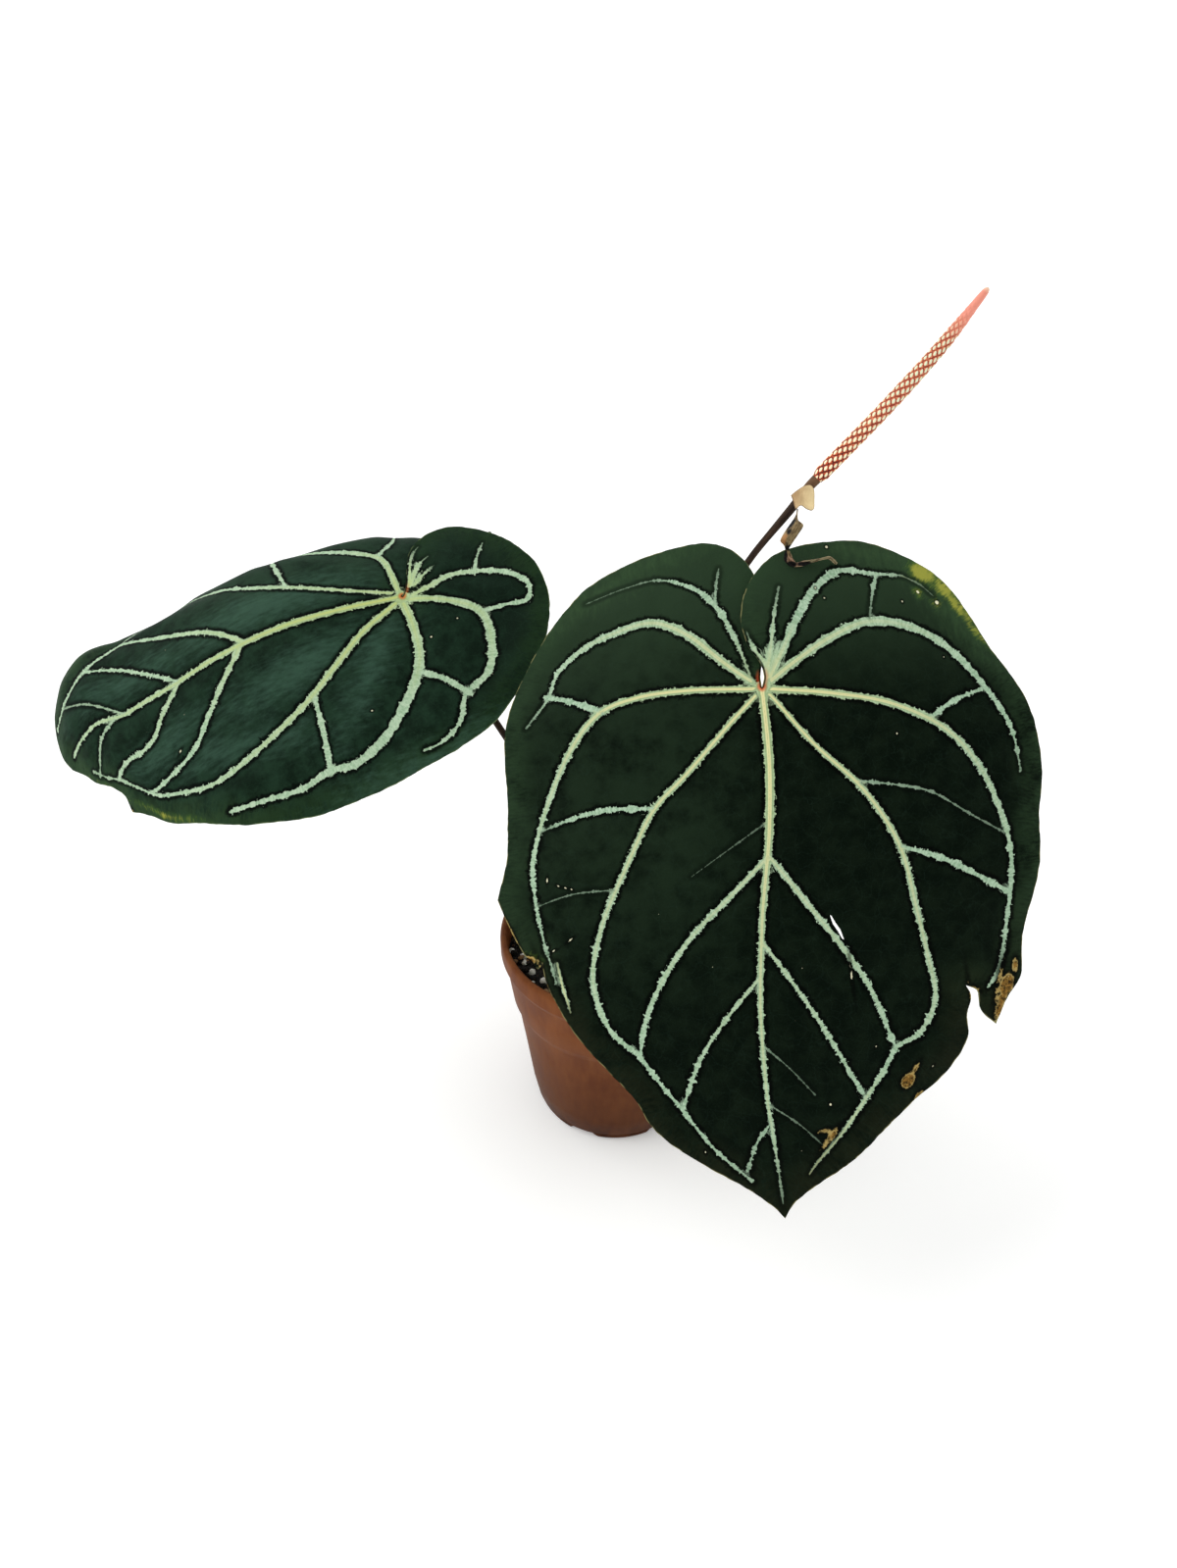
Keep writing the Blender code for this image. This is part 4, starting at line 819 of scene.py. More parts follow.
    # Dead, browned patches with a pale rim, a worn margin, and small scars
    brown = (dead + 1.2 * (fuzz - 0.5) + 1.4 * (plan.cloud(2.6) - 0.5)).ease(0.25, -0.15)
    patchy = plan.cloud(1.6, 4.0, 0.7)
    singed = patchy.ease(0.36, 0.6).blend("1c170b", "86642e")
    singed = (plan.cloud(2.2, 4.0, 0.7).ease(0.54, 0.66) * 0.7).blend(singed, "a88d4c")
    singed = ((dead + 1.1 * (patchy - 0.5)).ease(-0.45, -0.05) * 0.8).blend(singed, "ab965c")
    top = ((dead + 0.8 * (fuzz - 0.5)).ease(1.7, 0.3) * 0.8).blend(top, tones["halo"])
    top = brown.blend(top, singed)
    top = (margin.ease(0.5, 0.1) * plan.cloud(6.0, 3.0).ease(0.42, 0.62) * 0.8).blend(top, tones["edge"])
    top = ((fleck + 0.3 * fuzz).ease(1.1, 0.4) * (0.7 - 0.7 * sick)).blend(top, tones["halo"])
    specks = plan.cells(12.0).ease(0.02, 0.01)
    top = (fleck + 0.5 * (fuzz - 0.5)).ease(0.0, -0.18).most(specks * 0.5).blend(top, "d8d5b4")

    back = mottle.ease(0.3, 0.7).blend("3d523b", "4f6849")
    back = (net.ease(0.05, 0.0) * 0.6).blend(back, "6c8262")
    back = vein.ease(0.3, -0.2).blend(back, "a3b384")
    back = (brown * 0.9).blend(back, "7a5730")
    relief = 0.5 * fuzz + 0.3 * net.ease(0.0, 0.2) + 0.7 * pale
    wire.feed(Base_Color=under.blend(top, back), Roughness=0.5 + 0.2 * mottle + 0.1 * pale,
              Normal=relief.bump(0.0003, 0.6))
    return made


# Front leaf: the large blade that hangs face-on, its right lobe laid over its left, with a torn
# and browned flap on its right margin, a small slit, scars and a yellowed patch on its right lobe.

# The tones for the left side, the lobes and the sheen are painted light: a lighter left side, lighter lobes,
# and lighter patches of sheen
front_finish = blade_finish(
    "front_leaf_velvet",
    {"dark": "040c05", "light": "0c160c", "painted_side_sheen": "1a281a", "lobe": "293b28", "net": "22342a",
     "margin": "273a25", "margin_low": "1a1e11", "bloom": "3c5636", "halo": "010201", "vein": "84a385",
     "vein_light": "a9c2a7", "vein_green": "a5b880", "cream": "dcd49a", "groove": "7d8f58",
     "hub": "bc4a26", "edge": "8f8a5c"},
    Specular_IOR_Level=0.02, Sheen_Weight=0.02, Sheen_Roughness=0.5, Sheen_Tint=(0.55, 0.75, 0.65, 1.0))

front_leaf = Leaf(
    guide=([(52, -4, 321), (53.7, -28, 306.3)], [(55, -50, 289), (56.4, -78, 260.6), (57.5, -102.6, 229),
           (58.4, -124.3, 195.4), (59.3, -143.9, 160.6), (60.2, -157.8, 134), (61, -169, 112)]),
    roll=[(-60, -7), (200, -7)],
    curl_right=[(-60, 0.17), (200, 0.17)],
    curl_left=[(-60, 0.17), (200, 0.17)],
    fold_left=[(0, 0), (1, 0)],
    sway=[(-1, 0), (30, 1), (55, 0), (95, -4), (125, -5), (160, -3), (190, 1), (215, 4)],
    waves=(1.6, 62.0, 0.6),
    tip=215.0,
    quilt=0.5,
    margins={
        1: [
            [(0, 0), (0.7, -2.2), (1.1, -4.5), (0.6, -7.5), (-0.5, -11), (-4, -17), (-6, -28), (-4, -39),
             (1, -49), (10, -58), (22, -63), (37, -65), (50, -64), (65, -57), (78, -47), (88, -33), (97, -15),
             (105, 1), (110, 18), (113, 38), (110, 56), (110, 80), (107, 104), (106, 118), (99, 127),
             (94, 137)],
            [(94, 137), (88, 131), (86.5, 123), (82, 121)],
            [(82, 121), (84, 125), (82, 132), (82, 142), (72, 157), (59, 167), (48, 176), (30, 191),
             (13, 202), (4, 209), (0, 215)]],
        -1: [
            [(0, 0), (0, -2.2), (-0.1, -4.6), (0.6, -8), (1.4, -14), (3, -28), (4, -42), (1, -56), (-5, -65),
             (-15, -70), (-30, -69), (-50, -64.5), (-68, -56.5), (-82, -44), (-91, -33), (-101, -16),
             (-107, 5), (-110, 30), (-109, 50), (-107, 68), (-110, 85)],
            [(-110, 85), (-107, 93), (-103.5, 100.5), (-100.5, 105), (-97, 109.5), (-93.5, 111.5),
             (-91, 114.5), (-89.3, 112)],
            [(-89.3, 112), (-87.5, 118.5), (-85, 124), (-74, 143), (-63, 156), (-53, 167), (-49, 176),
             (-43, 183), (-29, 193), (-14, 202), (-4, 210), (0, 215)]],
    },
    # Each vein: half of the leaf, widths along it, how cream it is along it, and its points
    veins=[
        (0, (3.5, 3.8, 2.7, 2.3, 1.9, 0.8), (1, 0.9, 0.6, 0.4, 0.2, 0), [(0, 1), (0, 55), (0, 110), (0, 165),
            (0, 209)]),
        (1, (3.6, 1.6, 0.8), (0.3, 0), [(2, -4), (5, -17), (7, -28), (11, -43)]),
        (1, (3.2, 3.4, 3.2, 1.1), (0.5, 0, 0, 0), [(3.5, -4), (9, -14), (17, -29), (26, -42), (37, -50),
            (50, -48), (62, -47)]),
        (1, (2.4, 2.4, 1.5, 0.5), (0.2, 0), [(2.8, -4.5), (1.8, -9.5), (-0.3, -13), (-2.4, -17),
            (-4.2, -24)]),
        (1, (0.9, 0.7, 0.5), (0.3, 0), [(62.6, -46.8), (66, -45), (70, -42.5), (75, -37.5)]),
        (1, (2.6, 2.0, 1.2), (0.1, 0), [(3.5, -4.5), (5.5, -11), (8.2, -18)]),
        (1, (2.6, 2.0, 1.2), (0.1, 0), [(3, -6), (3.2, -11), (2.6, -16)]),
        (1, (1.6, 0.6), (0, 0), [(52, -47.5), (49, -38), (46, -26)]),
        (1, (3.2, 3.8, 4.0, 3.2, 2.0, 1.0), (0.6, 0.2, 0, 0), [(4, -2.5), (16, -11), (30, -20), (45, -26),
            (62, -24), (75, -17), (85, -6), (93, 7), (99, 19), (103, 36)]),
        (1, (3.0, 3.0, 3.0, 2.4, 2.0, 1.4), (1, 0.7, 0.15, 0, 0), [(4, 1), (28, 4), (51, 9), (72, 20),
            (87, 38), (95, 59), (98.5, 79), (99.2, 97), (97.5, 110), (94.5, 118), (91, 122)]),
        (1, (2.3, 2.5, 2.6, 2.3, 2.0, 0.9), (0.9, 0.6, 0.25, 0, 0.6), [(3, 3.5), (18, 24), (37, 43), (51, 64),
            (59, 85), (66, 108), (69, 125), (62, 139), (53, 144), (47, 154), (36, 169), (26.4, 180.3),
            (16, 191), (12, 196)]),
        (1, (2.0, 1.4), (0, 0), [(65, 15), (76, 8), (89, 3)]),
        (1, (1.2, 0.8), (0, 0), [(34, 39), (50, 41), (64, 44), (80, 53), (93, 60)]),
        (1, (2.0, 2.2), (0, 0), [(52, 65), (69, 70), (86, 78), (98, 84)]),
        (1, (2.3, 2.3, 1.8), (0.3, 0), [(1, 68), (16, 85), (32, 104), (44, 122), (52, 143)]),
        (1, (1.7, 1.8), (0.2, 0), [(1, 102), (13, 118), (24, 135), (38, 163)]),
        (1, (0.9, 0.6), (0, 0), [(0.6, 143), (10, 152), (19, 163)]),
        (1, (0.9, 0.6), (0, 0), [(0.6, 167), (11, 175), (19, 184)]),
        (-1, (2.4, 2.8, 2.5, 2.1, 1.2), (0.9, 0.6, 0.2, 0, 0), [(-3, 3.5), (-14, 14), (-33, 34), (-46, 48),
            (-57, 75), (-65, 100), (-67, 118), (-60, 139), (-50, 148), (-43, 158), (-35, 169), (-24, 186),
            (-11, 199)]),
        (-1, (2.8, 3.1, 3.2, 2.4, 1.7, 1.0), (1, 0.8, 0.3, 0, 0), [(-4, 0.5), (-30, -1), (-50, 0), (-66, 5),
            (-81, 22), (-91, 43), (-95, 66), (-93, 84), (-88.6, 104), (-84.6, 114), (-82.6, 120)]),
        (-1, (1.0, 1.4, 1.6, 0.7), (0.5, 0.6), [(-82.6, 111.5), (-81, 117), (-79.2, 123), (-77.6, 127.5),
            (-76.5, 132)]),
        (-1, (3.2, 4.0, 4.0, 3.0, 1.6, 0.9), (0.6, 0.35, 0.1, 0), [(-4, -3), (-15, -13), (-28, -26),
            (-42, -34), (-58, -32), (-72, -27), (-84, -17), (-88, -5), (-98, 8)]),
        (-1, (1.0, 1.8, 2.6, 2.4, 1.0, 0.6, 0.5), (0.1, 0, 0), [(-4, -5), (-9, -23), (-15, -38), (-22, -47),
            (-37, -54), (-51, -53), (-69, -49)]),
        (-1, (1.4, 0.8), (0, 0), [(-15.5, -39), (-14, -49), (-12, -57)]),
        (-1, (2.8, 2.6), (0, 0), [(-65, 5), (-78, -2), (-89, -6)]),
        (-1, (2.0, 2.2, 0.9), (0, 0), [(-46, 47), (-67, 47), (-83, 51), (-93, 55)]),
        (-1, (0.9, 0.7), (0, 0), [(-58, 80), (-77, 82), (-93, 88)]),
        (-1, (2.4, 2.4, 1.8), (0.3, 0), [(-1, 69), (-13, 83), (-28, 100), (-39, 118), (-46, 135),
            (-49, 148)]),
        (-1, (1.7, 1.6), (0.2, 0), [(-0.8, 116), (-15, 134), (-25, 149), (-34, 169)]),
        (-1, (1.4, 1.2), (0, 0), [(-0.5, 175), (-7, 183), (-12.5, 195)]),
        (-1, (0.7, 0.4), (0, 0), [(-1, 54), (-16, 65), (-29, 75)]),
    ],
    # The one slit that goes through; the longest of the flecks is a second one, healed to a line
    cuts=[(1, [(26.2, 90.9), (27.0, 91.4), (28.7, 94.1), (30.7, 96.8), (32.3, 100.7), (31.5, 100.4),
          (29.6, 97.2), (27.6, 94.5)])],
    # Marks: the middle of each, its length and width, and how far it is turned from the midrib
    dead=[(103.4, 114, 5.2, 2.4, -6), (99.2, 121.8, 9.4, 5.4, -26), (97, 127, 5, 3, -20),
          (95.6, 131.2, 8, 3.2, -14), (96.7, 117, 8, 0.8, -20), (94.6, 126, 11, 0.8, -8),
          (56.4, 158.6, 7, 4.8, -38), (59.6, 153.8, 5, 1.5, -34), (60.5, 165.5, 5, 2.4, -48),
          (23.4, 180, 8, 2.2, -44), (20.5, 178, 4, 1.4, -70), (20, 184, 4, 1.0, -50),
          (-103.4, 100.4, 20, 0.9, 29), (-94.2, 110.8, 7, 2.2, 74), (-89.4, 114.6, 6, 1.0, 22),
          (-87, 121, 10, 0.8, 24), (84.2, 127, 10, 0.8, 10), (85.6, 122.2, 3.4, 1.2, 60)],
    yellow=[(72, -48.5, 13, 11, 50), (80, -41, 15, 8, 44), (86, -32.5, 14, 7, 41), (92, -22, 14, 4.5, 38),
            (68.5, -39, 4.2, 3.4, 0), (76, -34.5, 4.6, 3.8, 0), (-93.6, 109.6, 5, 2, 70)],
    fleck=[(68.5, -39, 1.9, 1.2, 40), (76, -34.5, 2.0, 1.7, 0), (61, -34.5, 1.0, 0.7, 20),
           (75, -10.5, 0.8, 0.5, 0), (51, 21, 1.0, 0.7, 0), (29, -37, 1.1, 0.7, 20), (24.5, 167, 1.3, 1.0, 0),
           (33.5, -62, 1.6, 1.2, 0), (67, 153, 1.2, 0.5, -40), (44.5, 143.5, 1.0, 0.5, -30),
           (-28, 187, 1.1, 0.7, 0), (-88, 76, 2.6, 0.8, 5), (-83, 78.4, 2.0, 0.6, 60),
           (-80, 79.2, 1.9, 0.6, 70), (-77.4, 79.8, 1.3, 0.6, 60), (-77, 101.5, 3.4, 0.7, -52),
           (-84.4, 106.6, 2.8, 0.6, -60), (26, -42, 1.0, 0.7, 0), (35.5, 115, 12.0, 0.8, 8)],
    # Patches of painted sheen, where the velvet is drawn lighter as if it caught the light
    bloom=[(60, -56, 40, 8, 75), (84, -30, 30, 10, 40), (-52, -57, 34, 4, -66)],
)
make_blade("front_leaf_blade", front_leaf, front_finish, "front_blade", "front_leaf", "front_leaf_veins")

front_route = [(4.4, -3.4, 113.4), (4.6, -3.5, 120), (6.0, -4.8, 130), (12, -9, 160), (25, -17, 208),
               (41, -29, 252)]
grow_stalk("front_leaf_stalk", front_route + front_leaf.joint(12, (-2.0, 0.0, -2.0)),
           [2.8, 2.1, 1.8, 1.7, 1.7, 1.9, 2.2], petiole_finish, "petiole", "front_petiole")


# Left leaf: the second blade, draped over its midrib. Its near half faces forward, blue-green
# under the light, and its far half hangs down behind. Its stalk comes up to it from below.

# The tones for the left side and the sheen are painted light, and the lobe tone is a painted shade that
# darkens the lobes
left_finish = blade_finish(
    "left_leaf_velvet",
    {"dark": "0d1c12", "light": "1b3022", "painted_side_sheen": "25392a", "lobe": "0a180f", "net": "2c4635",
     "margin": "1f341c", "margin_low": "31472b", "bloom": "486a58", "halo": "010302", "vein": "8fae8c",
     "vein_light": "b4cbad", "vein_green": "adc078", "cream": "bcc674", "groove": "8a9a50",
     "hub": "bc5a26", "edge": "77865a"},
    Specular_IOR_Level=0.025, Sheen_Weight=0.03, Sheen_Roughness=0.45, Sheen_Tint=(0.5, 0.78, 0.72, 1.0))

left_leaf = Leaf(
    guide=([(-38, 66, 299), (-68.7, 54.8, 287.9)], [(-101, 42, 284), (-124.2, 32.8, 282.4),
           (-147.4, 24.2, 279.1), (-170.3, 16.7, 272.5), (-192.8, 10.7, 263.4), (-215.1, 6.5, 252.9),
           (-236.1, 4.1, 239.6), (-248.9, 3.6, 227.1), (-257, 4, 215)]),
    roll=[(-50, 22), (0, 30), (50, 35), (100, 37), (140, 44), (180, 54)],
    curl_right=[(-60, 0.15), (0, 0.15), (100, 0.1), (180, 0)],
    curl_left=[(-50, 1.2), (0, 0.66), (50, 0.86), (100, 0.92), (140, 0.85), (180, 0.75)],
    fold_left=[(-60, 30), (60, 30), (98, 10), (130, 24), (185, 34)],
    sway=[(-1, 0), (60, -1), (90, 0), (120, 3), (138, 3), (160, -3), (175, -3), (186, 0)],
    waves=(1.2, 55.0, 1.9),
    tip=186.0,
    quilt=0.9,
    margins={
        1: [
            [(0, 0), (-2.5, -1.8), (-6.5, -3.8), (-15, -6.8), (-23, -10.5), (-30, -17), (-34.5, -26),
             (-35, -37), (-28, -47), (-15, -56), (-3, -61), (10, -64), (27, -62), (41, -55), (54, -45),
             (65, -31), (74, -19), (79, -5), (84, 16), (88, 37), (89, 60), (87, 78), (80, 97), (68, 117),
             (57, 140), (51, 156), (45, 166)],
            [(45, 166), (37, 164), (30, 168), (20, 177), (10, 181), (0, 186)]],
        -1: [
            [(0, 0), (-0.6, -4), (-2, -12), (-6, -26), (-12, -42), (-24, -53), (-40, -54), (-56, -45),
             (-70, -28), (-80, -8), (-86, 16), (-88, 40), (-87, 62), (-82, 84), (-73, 106), (-62, 128),
             (-52, 146), (-42, 162), (-32, 175), (-20, 184), (-8, 187), (0, 186)]],
    },
    veins=[
        (0, (3.0, 3.2, 2.8, 2.2, 1.6), (1, 0.8, 0.5, 0.3, 0.1), [(0, 1), (0, 45), (0, 90), (0, 135),
            (0, 179)]),
        (1, (3.0, 3.2, 2.6, 1.8, 1.2), (0.8, 0.5, 0.2, 0, 0), [(3, 4), (14, 23), (27, 40), (38, 57), (48, 84),
            (52, 107), (46, 131), (36, 153), (29, 161), (22, 169), (15, 174)]),
        (1, (4.0, 4.2, 4.0, 2.8, 1.8), (0.6, 0, 0, 0), [(4, 0.5), (17, 0), (33, 2), (48, 10), (64, 26),
            (73, 45), (72, 61), (74, 75), (71, 93), (67, 108)]),
        (1, (3.2, 4.0, 3.6, 2.2, 1.4), (0.5, 0.2, 0, 0), [(3, -3), (9, -19), (20, -31), (37, -30), (50, -24),
            (57, -12), (68, -6), (75, 5), (76, 12)]),
        (1, (2.8, 2.8), (0, 0), [(39, 5), (47, -6), (57, -14)]),
        (1, (2.6, 2.8, 2.6, 1.8), (0.3, 0, 0), [(1.5, -4.5), (-1, -14), (-4, -25), (-1, -38), (6, -49),
            (18, -56), (25, -52), (22, -42), (20, -31)]),
        (1, (1.6, 1.0), (0, 0), [(-1.5, -36.5), (-9, -41), (-16, -47)]),
        (1, (2.0, 1.6, 1.2, 0.6), (0.4, 0), [(-4, -4.2), (-9, -6.4), (-15.5, -8.6), (-22, -12), (-26, -16)]),
        (1, (2.2, 2.4, 1.6, 0.5), (0.3, 0), [(-4, -5.5), (-10, -9), (-14.5, -12.5), (-18.5, -18.5)]),
        (1, (2.0, 1.8, 0.5), (0.2, 0), [(-3.5, -7), (-7.5, -12), (-12, -19.5)]),
        (1, (2.6, 2.4, 1.8), (0.3, 0, 0), [(0.8, 77), (11, 89), (22, 101), (32, 112), (37, 127), (40, 145)]),
        (1, (2.2, 1.8), (0.2, 0), [(0.8, 110), (10, 122), (18, 131), (22, 148), (29, 161)]),
        (1, (1.4, 1.2), (0, 0), [(0.6, 146), (8, 158), (16, 167), (20, 172)]),
        (1, (2.6, 2.8), (0, 0), [(38, 54), (54, 56), (73, 60)]),
        (-1, (3.2, 3.4, 3.0, 1.6), (0.5, 0, 0, 0), [(-4, 1), (-12, 1), (-26, 3), (-33, 12), (-42, 29),
            (-54, 50), (-62, 72), (-63, 94), (-58, 112)]),
        (-1, (1.8, 1.6), (0, 0), [(-28, 4), (-40, -7), (-56, -9), (-68, 4)]),
        (-1, (1.8, 2.2, 2.0, 1.4), (0.5, 0, 0), [(-3, 4), (-10, 25), (-20, 48), (-28, 63), (-40, 80),
            (-49, 98), (-52, 114), (-48, 127), (-41, 138)]),
        (-1, (2.0, 1.8), (0, 0), [(-21, 49), (-38, 51), (-55, 52)]),
        (-1, (2.6, 2.4, 1.8, 1.4), (0.3, 0, 0), [(-0.8, 75), (-13, 87), (-24, 104), (-36, 125), (-41, 137),
            (-37, 145), (-28, 157), (-22, 170), (-19, 180)]),
        (-1, (1.8, 1.6), (0, 0), [(-0.8, 110), (-14, 125), (-26, 141), (-30, 155)]),
        (-1, (1.3, 1.0), (0, 0), [(-0.6, 140), (-10, 154), (-21, 170)]),
        (-1, (2.6, 2.4, 1.4), (0.3, 0), [(-4, -4), (-10, -20), (-24, -36), (-42, -38), (-60, -26),
            (-70, -10)]),
    ],
    cuts=[],
    dead=[(45.5, 166, 4, 1.6, 40)],
    yellow=[(54, 140, 30, 3, -30), (28, 171, 24, 2, -60)],
    fleck=[(30, 120, 2.6, 0.8, 30), (52, 30, 1.2, 0.8, 0), (20, -20, 1.0, 0.8, 0), (25, -6, 1.2, 0.9, 0)],
    # Patches of painted sheen, where the velvet is drawn lighter as if it caught the light
    bloom=[(-14, 60, 70, 16, 0), (22, 52, 60, 14, 10), (32, 24, 40, 8, 50), (24, 125, 30, 8, 10),
           (44, 92, 40, 8, -14), (-14, 130, 40, 8, 0), (80, 10, 50, 5, 10)],
)
make_blade("left_leaf_blade", left_leaf, left_finish, "left_blade", "left_leaf", "left_leaf_veins")

left_route = [(-4.8, -1.4, 113.4), (-5.0, -1.4, 120), (-7.6, -0.8, 130), (-18, 2, 158), (-36, 8, 196),
              (-53, 16, 222), (-75, 31, 250)]
grow_stalk("left_leaf_stalk", left_route + left_leaf.joint(11, (3.0, -1.0, -1.0)),
           [2.8, 2.1, 1.8, 1.65, 1.65, 1.8, 2.1], petiole_finish, "petiole", "left_petiole")


# Flower stalk: a slimmer, longer stalk of the same brown skin. It rises behind the front leaf,
# bends at the joint that carries the bract, and ends in a tan neck just below the spike.

SPADIX_AXIS = [(78.2, 3.8, 355.2), (91.0, 7.2, 368.4), (104.7, 12.6, 381.7), (124.0, 22.0, 401.0),
               (142.9, 33.3, 421.7)]
spadix_foot = np.array(SPADIX_AXIS[0])
spadix_way = unit(np.array(SPADIX_AXIS[1]) - spadix_foot)
flower_route = [(1.2, 4.8, 113.4), (1.3, 4.8, 120), (2.6, 5.2, 132), (9, 6, 168), (22, 3, 226), (37, 0, 280),
                (47.9, -0.8, 312), (54.5, 1.2, 322.9), (69.1, -0.2, 345)]
flower_route += [tuple(spadix_foot - reach * spadix_way) for reach in (4.0, 1.5, -0.4)]

flower_finish, wire, streaks, patches, tone = brown_skin("flower_stalk_skin", "1f140d", "453222", 0.45)
tone = (wire.field("along").ease(247.0, 254.0) * 0.8 * patches.ease(0.3, 0.6)).blend(tone, "705238")
wire.feed(Base_Color=tone, Roughness=0.45 + 0.2 * patches, Normal=streaks.bump(0.00014))
grow_stalk("flower_stalk", flower_route, [2.6, 1.9, 1.5, 1.4, 1.4, 1.4, 1.4, 1.5, 2.1], flower_finish,
           "peduncle", "peduncle", sides=24)


# Spadix: the slim spike of tightly packed florets, each a small diamond with a cream stigma in
# its middle. The lattice is rust red at the foot, pinker higher up, and smooth at the tip.

FLORETS_AROUND = 6
FLORET_COLUMNS = 16
FLORET_ROWS = 14
FLORET_LENGTH = 3.4
FLORET_WIDTH = 3.14
FLORET_SLANT = 0.31
STIGMA_LEAN = math.radians(-16.0)
SPADIX_TAPER = [(0.0, 2.3), (0.03, 3.05), (0.5, 3.0), (0.75, 2.6), (0.88, 1.95), (0.96, 1.55), (0.985, 1.3),
                (0.995, 0.9), (1.0, 0.35)]

spike_path = smooth_path(SPADIX_AXIS, 0.25)
spike_run = run_of(spike_path)
spike_ways = unit(np.gradient(spike_path, spike_run, axis=0))
rows, columns = int(spike_run[-1] / (FLORET_LENGTH / FLORET_ROWS)), FLORETS_AROUND * FLORET_COLUMNS
turns = np.arange(columns) * 2 * math.pi / columns
cosines, sines = np.cos(turns)[:, None], np.sin(turns)[:, None]
points, fields = [], {"floret": [], "oval": [], "along": [], "grain": []}
for row in range(rows + 1):
    share = row / rows
    centre, way = (np.array([np.interp(share * spike_run[-1], spike_run, v[:, k]) for k in range(3)])
                   for v in (spike_path, spike_ways))
    across = unit(np.cross(way, (0.0, 1.0, 0.0)))
    # Two sets of diamonds, one of them half a floret further up and further round than the other
    v = share * spike_run[-1] / FLORET_LENGTH
    u = np.arange(columns) / FLORET_COLUMNS + 0.02 + FLORET_SLANT * v
    diamonds, ovals = [], []
    for shift in (0.0, 0.5):
        up, aside = v + shift - round(v + shift), u + shift - np.round(u + shift)
        diamonds.append(np.abs(aside) + abs(up))
        right, up = FLORET_WIDTH * (aside - FLORET_SLANT * up), FLORET_LENGTH * up
        length = up * math.cos(STIGMA_LEAN) + right * math.sin(STIGMA_LEAN)
        width = right * math.cos(STIGMA_LEAN) - up * math.sin(STIGMA_LEAN)
        ovals.append(np.hypot(length / 1.05, width / 0.56))
    floret, oval = np.clip(2 * np.minimum(*diamonds), 0, 1), np.clip(np.minimum(*ovals), 0, 3)
    fade = smoothstep(share * 40) * (1 - smoothstep((share - 0.78) / 0.17))
    raised = 0.34 * (1 - floret ** 2.5) - 0.3 + 0.18 * (1 - smoothstep(oval - 0.4))
    radius = np.interp(share, *zip(*SPADIX_TAPER)) + fade * raised
    points.append(centre + radius[:, None] * (cosines * across + sines * np.cross(way, across)))
    fields["floret"].append(floret)
    fields["oval"].append(oval)
    fields["along"].append(np.full(columns, share))
    fields["grain"].append(np.hstack([3 * cosines, 3 * sines, np.full((columns, 1), share * 98)]))

spike_finish, wire = new_finish("floret_lattice", Specular_IOR_Level=0.35)
floret, oval, along = map(wire.field, ("floret", "oval", "along"))
uneven, patchy = wire.field("grain", "Vector").cloud(0.9, 3.0), wire.field("grain", "Vector").cloud(5.0, 2.0)
dots = (oval + 0.5 * (uneven - 0.5)).ease(1.06, 0.86) * along.ease(0.92, 0.7)
gaps = (floret + 0.8 * (uneven - 0.5)).ease(0.68, 0.92) * along.ease(0.95, 0.7)
tone = (along + 0.2 * (patchy - 0.5)).ease(0.04, 0.36).blend("cf4f1e", "e08660")
tone = gaps.blend(tone, along.ease(0.06, 0.4).blend("560a04", "96341c"))
tone = dots.blend(tone, along.ease(0.1, 0.5).blend("fbf3c8", "dde6c2"))
tone = (along + 0.12 * (patchy - 0.5)).ease(0.7, 0.88).blend(tone, "e58f7a")
tone = along.ease(0.97, 0.995).blend(tone, "ecc4a6")
wire.feed(Base_Color=tone, Roughness=0.38 + 0.25 * uneven, Normal=(uneven - gaps).bump(0.00015))
make_piece("spadix_spike", np.concatenate(points), tube_faces(rows + 1, columns), spike_finish, "spadix",
           "spadix", fields={field: np.concatenate(values) for field, values in fields.items()}, crease=70.0)


# Spathe: the withered bract. A straw-coloured collar, cupped round the joint of the stalk, is
# what is left of its foot, and a brown, dried and twisted strip hangs from it on to the leaf.
# Both are drawn in a flat view of the joint: x to the right, y up and z towards the viewer.

JOINT = np.array([72.2, 0.9, 350.2])
VIEW_AXES = np.array([[1.0, 0.0, 0.0], [0.0, math.sin(CAMERA_DOWN), math.cos(CAMERA_DOWN)],
                      [0.0, -math.cos(CAMERA_DOWN), math.sin(CAMERA_DOWN)]])


def withered_piece(name, front, back, faces, look, *nodes, **fields):
    """A thin closed sheet, from its two faces in the flat view and the fields of one face."""
    points = JOINT + np.concatenate([front, back]) @ VIEW_AXES
    fields = {field: np.concatenate([values, values]) for field, values in fields.items()}
    make_piece(name, points, sheet_faces(faces, len(front)), look, "spathe", *nodes, fields=fields,
               crease=60.0)


COLLAR_THICK = 0.6
collar_edge = [(-4.8, -1.4), (-2.2, 0.6), (0.6, 2.2), (3.0, 2.6), (4.3, 0.6), (4.5, -3.4), (3.9, -7.6),
               (1.2, -7.4), (-1.2, -6.0), (-3.1, -7.3), (-3.9, -4.2), (-4.8, -1.4)]
collar_edge = wound(smooth_path(collar_edge, 0.4)[:-1])
collar_loop = np.concatenate([collar_edge, collar_edge[:1]])
collar_net = np.array([(x + (j % 2) * 0.25, y) for j, y in enumerate(np.arange(-8, 5, 0.43))
                       for x in np.arange(-5, 5, 0.5)])
collar_net = collar_net[inside(collar_net, collar_edge) & (nearest(collar_net, collar_loop)[0] > 0.28)]
collar_plan, collar_faces = fill(np.concatenate([collar_edge, collar_net]), [list(range(len(collar_edge)))])
x, y = collar_plan.T
off_stalk = (x - 0.15 * y) * 0.8 - (y + 1.4) * 0.1
